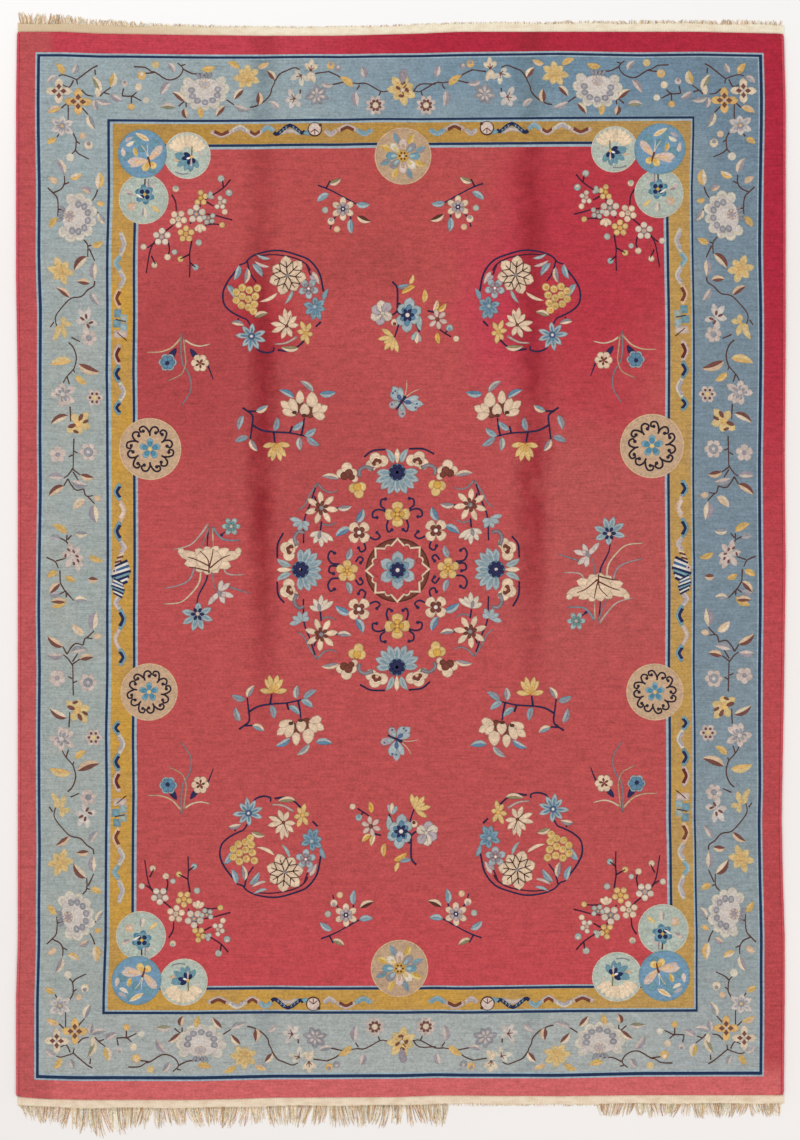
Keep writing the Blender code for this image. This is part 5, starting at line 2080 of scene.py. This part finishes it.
def butterfly(pen, turn):
    """Wings of unlike size, as it was knotted, with long feelers."""
    pen = pen.at(0, turn)
    for side, share in ((pen, 1.0), (pen.at(0, flip=True), 0.82)):
        for tip, width in ((20-10j, 9), (18-2j, 9), (12-14j, 7)):
            petal(side, 1-1j, share * tip, width, "mist", 0.45)
        petal(side, 1+1j, share * (10+13j), 9, "lilac", 0.8)
        petal(side, 1+1j, share * (6+8j), 4, "aqua", 0.8)
        petal(side, 1-1j, share * (9-5j), 4.6, "steel", 0.5)
        for spot in (14-7j, 15-3j, 8+9j):
            disc(side, share * spot, 1.1, "steel", 7)
        stem(side, (0.6-6j, 3-13j, 8-21j), 1.1, "cream", 0.6, 3)
    stem(pen, (-7j, 0, 9j), 3.0, "navy", 0.5, 3)


try_out(small_spray, centre_spray, lily_branch)

# %% [markdown]
# Tall stems of morning glory rise from the roundels of the long sides, and a
# cream water lily lies between each two of them.

# %% Morning glory and water lily at the sides
def morning_glory(pen):
    stem(pen,
         (181.5+334j, 181+350j, 183+364j, 188.5+373j, 191+382j, 190.5+391j, 186+399j, 182+405j),
         2.0, "dove", 0.6, 4)
    stem(pen, (183.5+338j, 185+352j, 186+362j, 184+370j, 180.5+375j, 168.5+381j), 1.7, "sand", 0.7,
         4)
    stem(pen, (181+338j, 172+347.5j, 161+352j, 147.5+352.5j), 2.2, "peach", 0.5, 4)
    stem(pen, (185+340j, 191.5+344j, 200+346j, 210+344j), 2.2, "cream", 0.5, 4)
    stem(pen, (203+355j, 208+366j, 213+379j), 2.2, "navy", 0.4, 4)
    petal(pen, 176.5+348j, 169+360j, 7, "navy", 0.8)
    petal(pen, 190+348.5j, 197.5+359j, 6, "navy", 0.8)
    bloom(pen, 168+362.5j, 9.2, 6, "mist", 1.2, 0.8, 0)
    bloom(pen, 168+362.5j, 7.6, 6, "blue", 1.2, 0.8, 0)
    disc(pen, 167.5+363.5j, 2.2, "navy", 8)
    bloom(pen, 200+363j, 9.2, 6, "cream", 1.2, 0.8, 0)
    bloom(pen, 200+363.5j, 5.0, 5, "brown", 0.6, 0.3, 10)


def water_lily(pen):
    for line, width, dye in (((208+524j, 200+535j, 190+545j, 174+549.5j), 2.4, "rose"),
                             ((213+527j, 218+535j, 225+540j, 240+540.5j), 2.4, "sky"),
                             ((208+530j, 207+548j), 1.6, "navy"),
                             ((209+527j, 205+538j, 200+549j), 1.7, "dove"),
                             ((212.5+528j, 213+546j), 1.7, "cream"),
                             ((207.5+570j, 206.5+580j, 198.5+596j, 197+608j), 2.0, "navy"),
                             ((195+566j, 190+579j, 180+585j, 165+588.5j), 2.2, "lilac"),
                             ((201+570j, 199+583j, 190+595j, 180+602.5j, 164+604j), 2.2, "cream"),
                             ((223+566j, 226+573j, 233+575j, 244+575j), 2.2, "rose"),
                             ((212+570j, 214+585j, 216.5+590j), 1.7, "dove"),
                             ((229+587j, 238+590j, 249+593.5j), 2.2, "dove"),
                             ((221.5+535j, 227+530j), 1.4, "navy")):
        stem(pen, line, width, dye, 0.5, 4)
    bloom(pen, 231+526.5j, 9.5, 6, "aqua", 0.85, 0.8, 0, inner="teal", inner_share=0.6,
          heart="rose", heart_share=0.2)
    disc(pen, 221.5+535j, 1.6, "navy", 7)
    for tip, width in ((178+553j, 13), (184+564j, 13), (196+571j, 14), (207+575j, 13),
                       (218+573j, 13), (231+567j, 13), (241+554j, 13), (195+549j, 12),
                       (206+546j, 12), (218+546j, 12), (229+549j, 12)):
        petal(pen, 209+560j, tip, width * 0.86, "cream", 0.80)
    disc(pen, 209+560j, 13, "cream", 16, 0.9)
    disc(pen, 181+551j, 3.4, "cream", 9)
    disc(pen, 238+551j, 3.4, "cream", 9)
    for line in ((209+573j, 208+560j, 200+551j), (209+566j, 197+560j, 188+557j),
                 (209+568j, 212+556j, 213+549j), (210+568j, 221+559j, 230+555j),
                 (208+571j, 196+568j, 189+567j)):
        stem(pen, line, 1.5, "brown", 0.5, 4)
    fan(pen, 219+592j, (208+605j, 213+600j, 224.5+604j, 234+597j, 230+583j, 222+580j), 5.6, "blush",
        0.15)
    petal(pen, 217+590j, 223+597j, 5, "dove", 0.8)
    disc(pen, 223.5+595.5j, 2.4, "rose", 8)
    fan(pen, 198+614.5j, (182+611j, 183+624j, 193+631j, 203+630j, 213+620.5j, 212+608j, 199+602j),
        6.6, "mist", 0.15, (0.8, 2.6, "sky", 0.1))
    bloom(pen, 198+614j, 7.0, 6, "navy", 0.7, 0.3, 0)
    disc(pen, 198+613.5j, 2.2, "rose", 8)


try_out(morning_glory, water_lily)

# %% [markdown]
# Each branch goes to its measured places: four of them one to a quarter, the
# others once at either end or side, turned half round for the second.

# %% Placing the branches
def place_four(name, part, centre, places, seed):
    """Draw a part charted in the upper left, and mirror it to each place."""
    for (quarter, flips), place in zip(QUARTERS.items(), places):
        pen = Pen().moved(centre, charted(place), *flips)
        part(pen)
        knot(f"{name}_{quarter}", pen, seed=seed)


place_four("plum_blossom", plum_branches, 190+228j, (190+228j, 616+222j, 188+905j, 616.5+901j), 11)
place_four("small_spray", small_spray, 343+209j, (343+209j, 458+207j, 346+915j, 456+914j), 12)
place_four("lily_branch", lily_branch, 281.5+418j, (281.5+418j, 520+418j, 278+718j, 525+720j), 13)
place_four("morning_glory", morning_glory, 181+337j, (181+337j, 622.5+334j, 181+811j, 623+809j), 14)
for part, seed, first, second in ((centre_spray, 15, ("lower", 398.5+830.5j), ("upper", 410+316j)),
                                  (water_lily, 16, ("left", 208.5+576j), ("right", 599+571.5j))):
    for name, place in (first, second):
        turned = place != first[1]
        pen = Pen().moved(first[1], charted(place), turned, turned)
        part(pen)
        knot(f"{part.__name__}_{name}", pen, seed=seed)
for name, place, turn in (("upper", 401.5+402j, 35), ("lower", 396+739j, 115)):
    pen = Pen().at(charted(place))
    butterfly(pen, turn)
    knot(f"butterfly_{name}", pen, seed=17)


# %% [markdown]
# ## The sheet
# The rug is one sheet laid flat, 2.50 by 3.47 m, and everything knotted or woven
# onto it belongs to that sheet.

# %% [markdown]
# ## Floor, light and camera
# The rug lies on a pale, plain floor, with painted light that makes it a little
# lighter behind its upper end. The floor is only for the picture, so it is staged.

# %% Floor
FLOOR_REACH, FLOOR_DROP = 6, 0.0005


def matt_floor():
    """Pale plaster, with painted light a touch lighter towards the upper end."""
    bench = Bench("pale_floor")
    place = bench.place()
    grain = bench.noise(place, 3.0, 2.0)
    _, y, _ = bench.axes(place)
    colour = bench.mix(grain, linear(241, 236, 233), linear(243, 239, 236))
    # Painted light: the floor lighter towards the upper end
    colour = bench.mix(y.step(0.9, 1.95) * 0.8, colour, linear(250, 249, 248))
    return bench.finish(Base_Color=colour, Roughness=0.9, Specular_IOR_Level=0.1)


floor_mesh = bpy.data.meshes.new("floor")
floor_mesh.from_pydata([(x * FLOOR_REACH, y * FLOOR_REACH, -FLOOR_DROP)
                        for x, y in ((-1, -1), (1, -1), (1, 1), (-1, 1))], [], [(0, 1, 2, 3)])
floor_mesh.materials.append(matt_floor())
floor = bpy.data.objects.new("floor", floor_mesh)
bpy.context.collection.objects.link(floor)
print("floor", 2 * FLOOR_REACH, "m wide")

# %% [markdown]
# Broad, soft light comes from all round, with one window to the upper left and
# a weaker lamp across from it. The camera looks straight down from ten metres,
# far enough that the sides stay square, and takes in a little floor all round.

# %% Light and camera
world = bpy.data.worlds.new("soft_room")
world.use_nodes = True
world.node_tree.nodes["Background"].inputs["Color"].default_value = (1.0, 1.0, 1.0, 1.0)
world.node_tree.nodes["Background"].inputs["Strength"].default_value = 0.70
bpy.context.scene.world = world
bpy.context.scene.view_settings.view_transform = "Standard"


def soft_light(name, place, power, size):
    """A round lamp at a place, facing the middle of the rug."""
    lamp = bpy.data.lights.new(name, "AREA")
    lamp.energy = power
    lamp.shape = "DISK"
    lamp.size = size
    holder = bpy.data.objects.new(name, lamp)
    holder.location = place
    way = -np.asarray(place, float)
    holder.rotation_euler = (math.atan2(math.hypot(way[0], way[1]), -way[2]), 0,
                             math.atan2(way[1], way[0]) - math.pi / 2)
    bpy.context.collection.objects.link(holder)


soft_light("window_light", (-3.5, 3.0, 6.5), 150, 3.0)
soft_light("fill_light", (3.5, -3.0, 6.5), 110, 4.0)

FRAME_HEIGHT = 1140 * SQUARE
FRAME_MIDDLE = 400 + 570j
CAMERA_HEIGHT = 10.0  # above the pile
SENSOR = 36.0
lens = bpy.data.cameras.new("overhead")
lens.sensor_fit = "VERTICAL"
lens.sensor_height = lens.sensor_width = SENSOR
lens.lens = SENSOR * CAMERA_HEIGHT / FRAME_HEIGHT
camera = bpy.data.objects.new("overhead", lens)
aim = (FRAME_MIDDLE - MIDDLE) * SQUARE
camera.location = (aim.real, -aim.imag, CAMERA_HEIGHT + RUG_THICKNESS)
bpy.context.collection.objects.link(camera)
bpy.context.scene.camera = camera
print("lens", round(lens.lens, 1), "mm over a frame", round(FRAME_HEIGHT, 2), "m high")
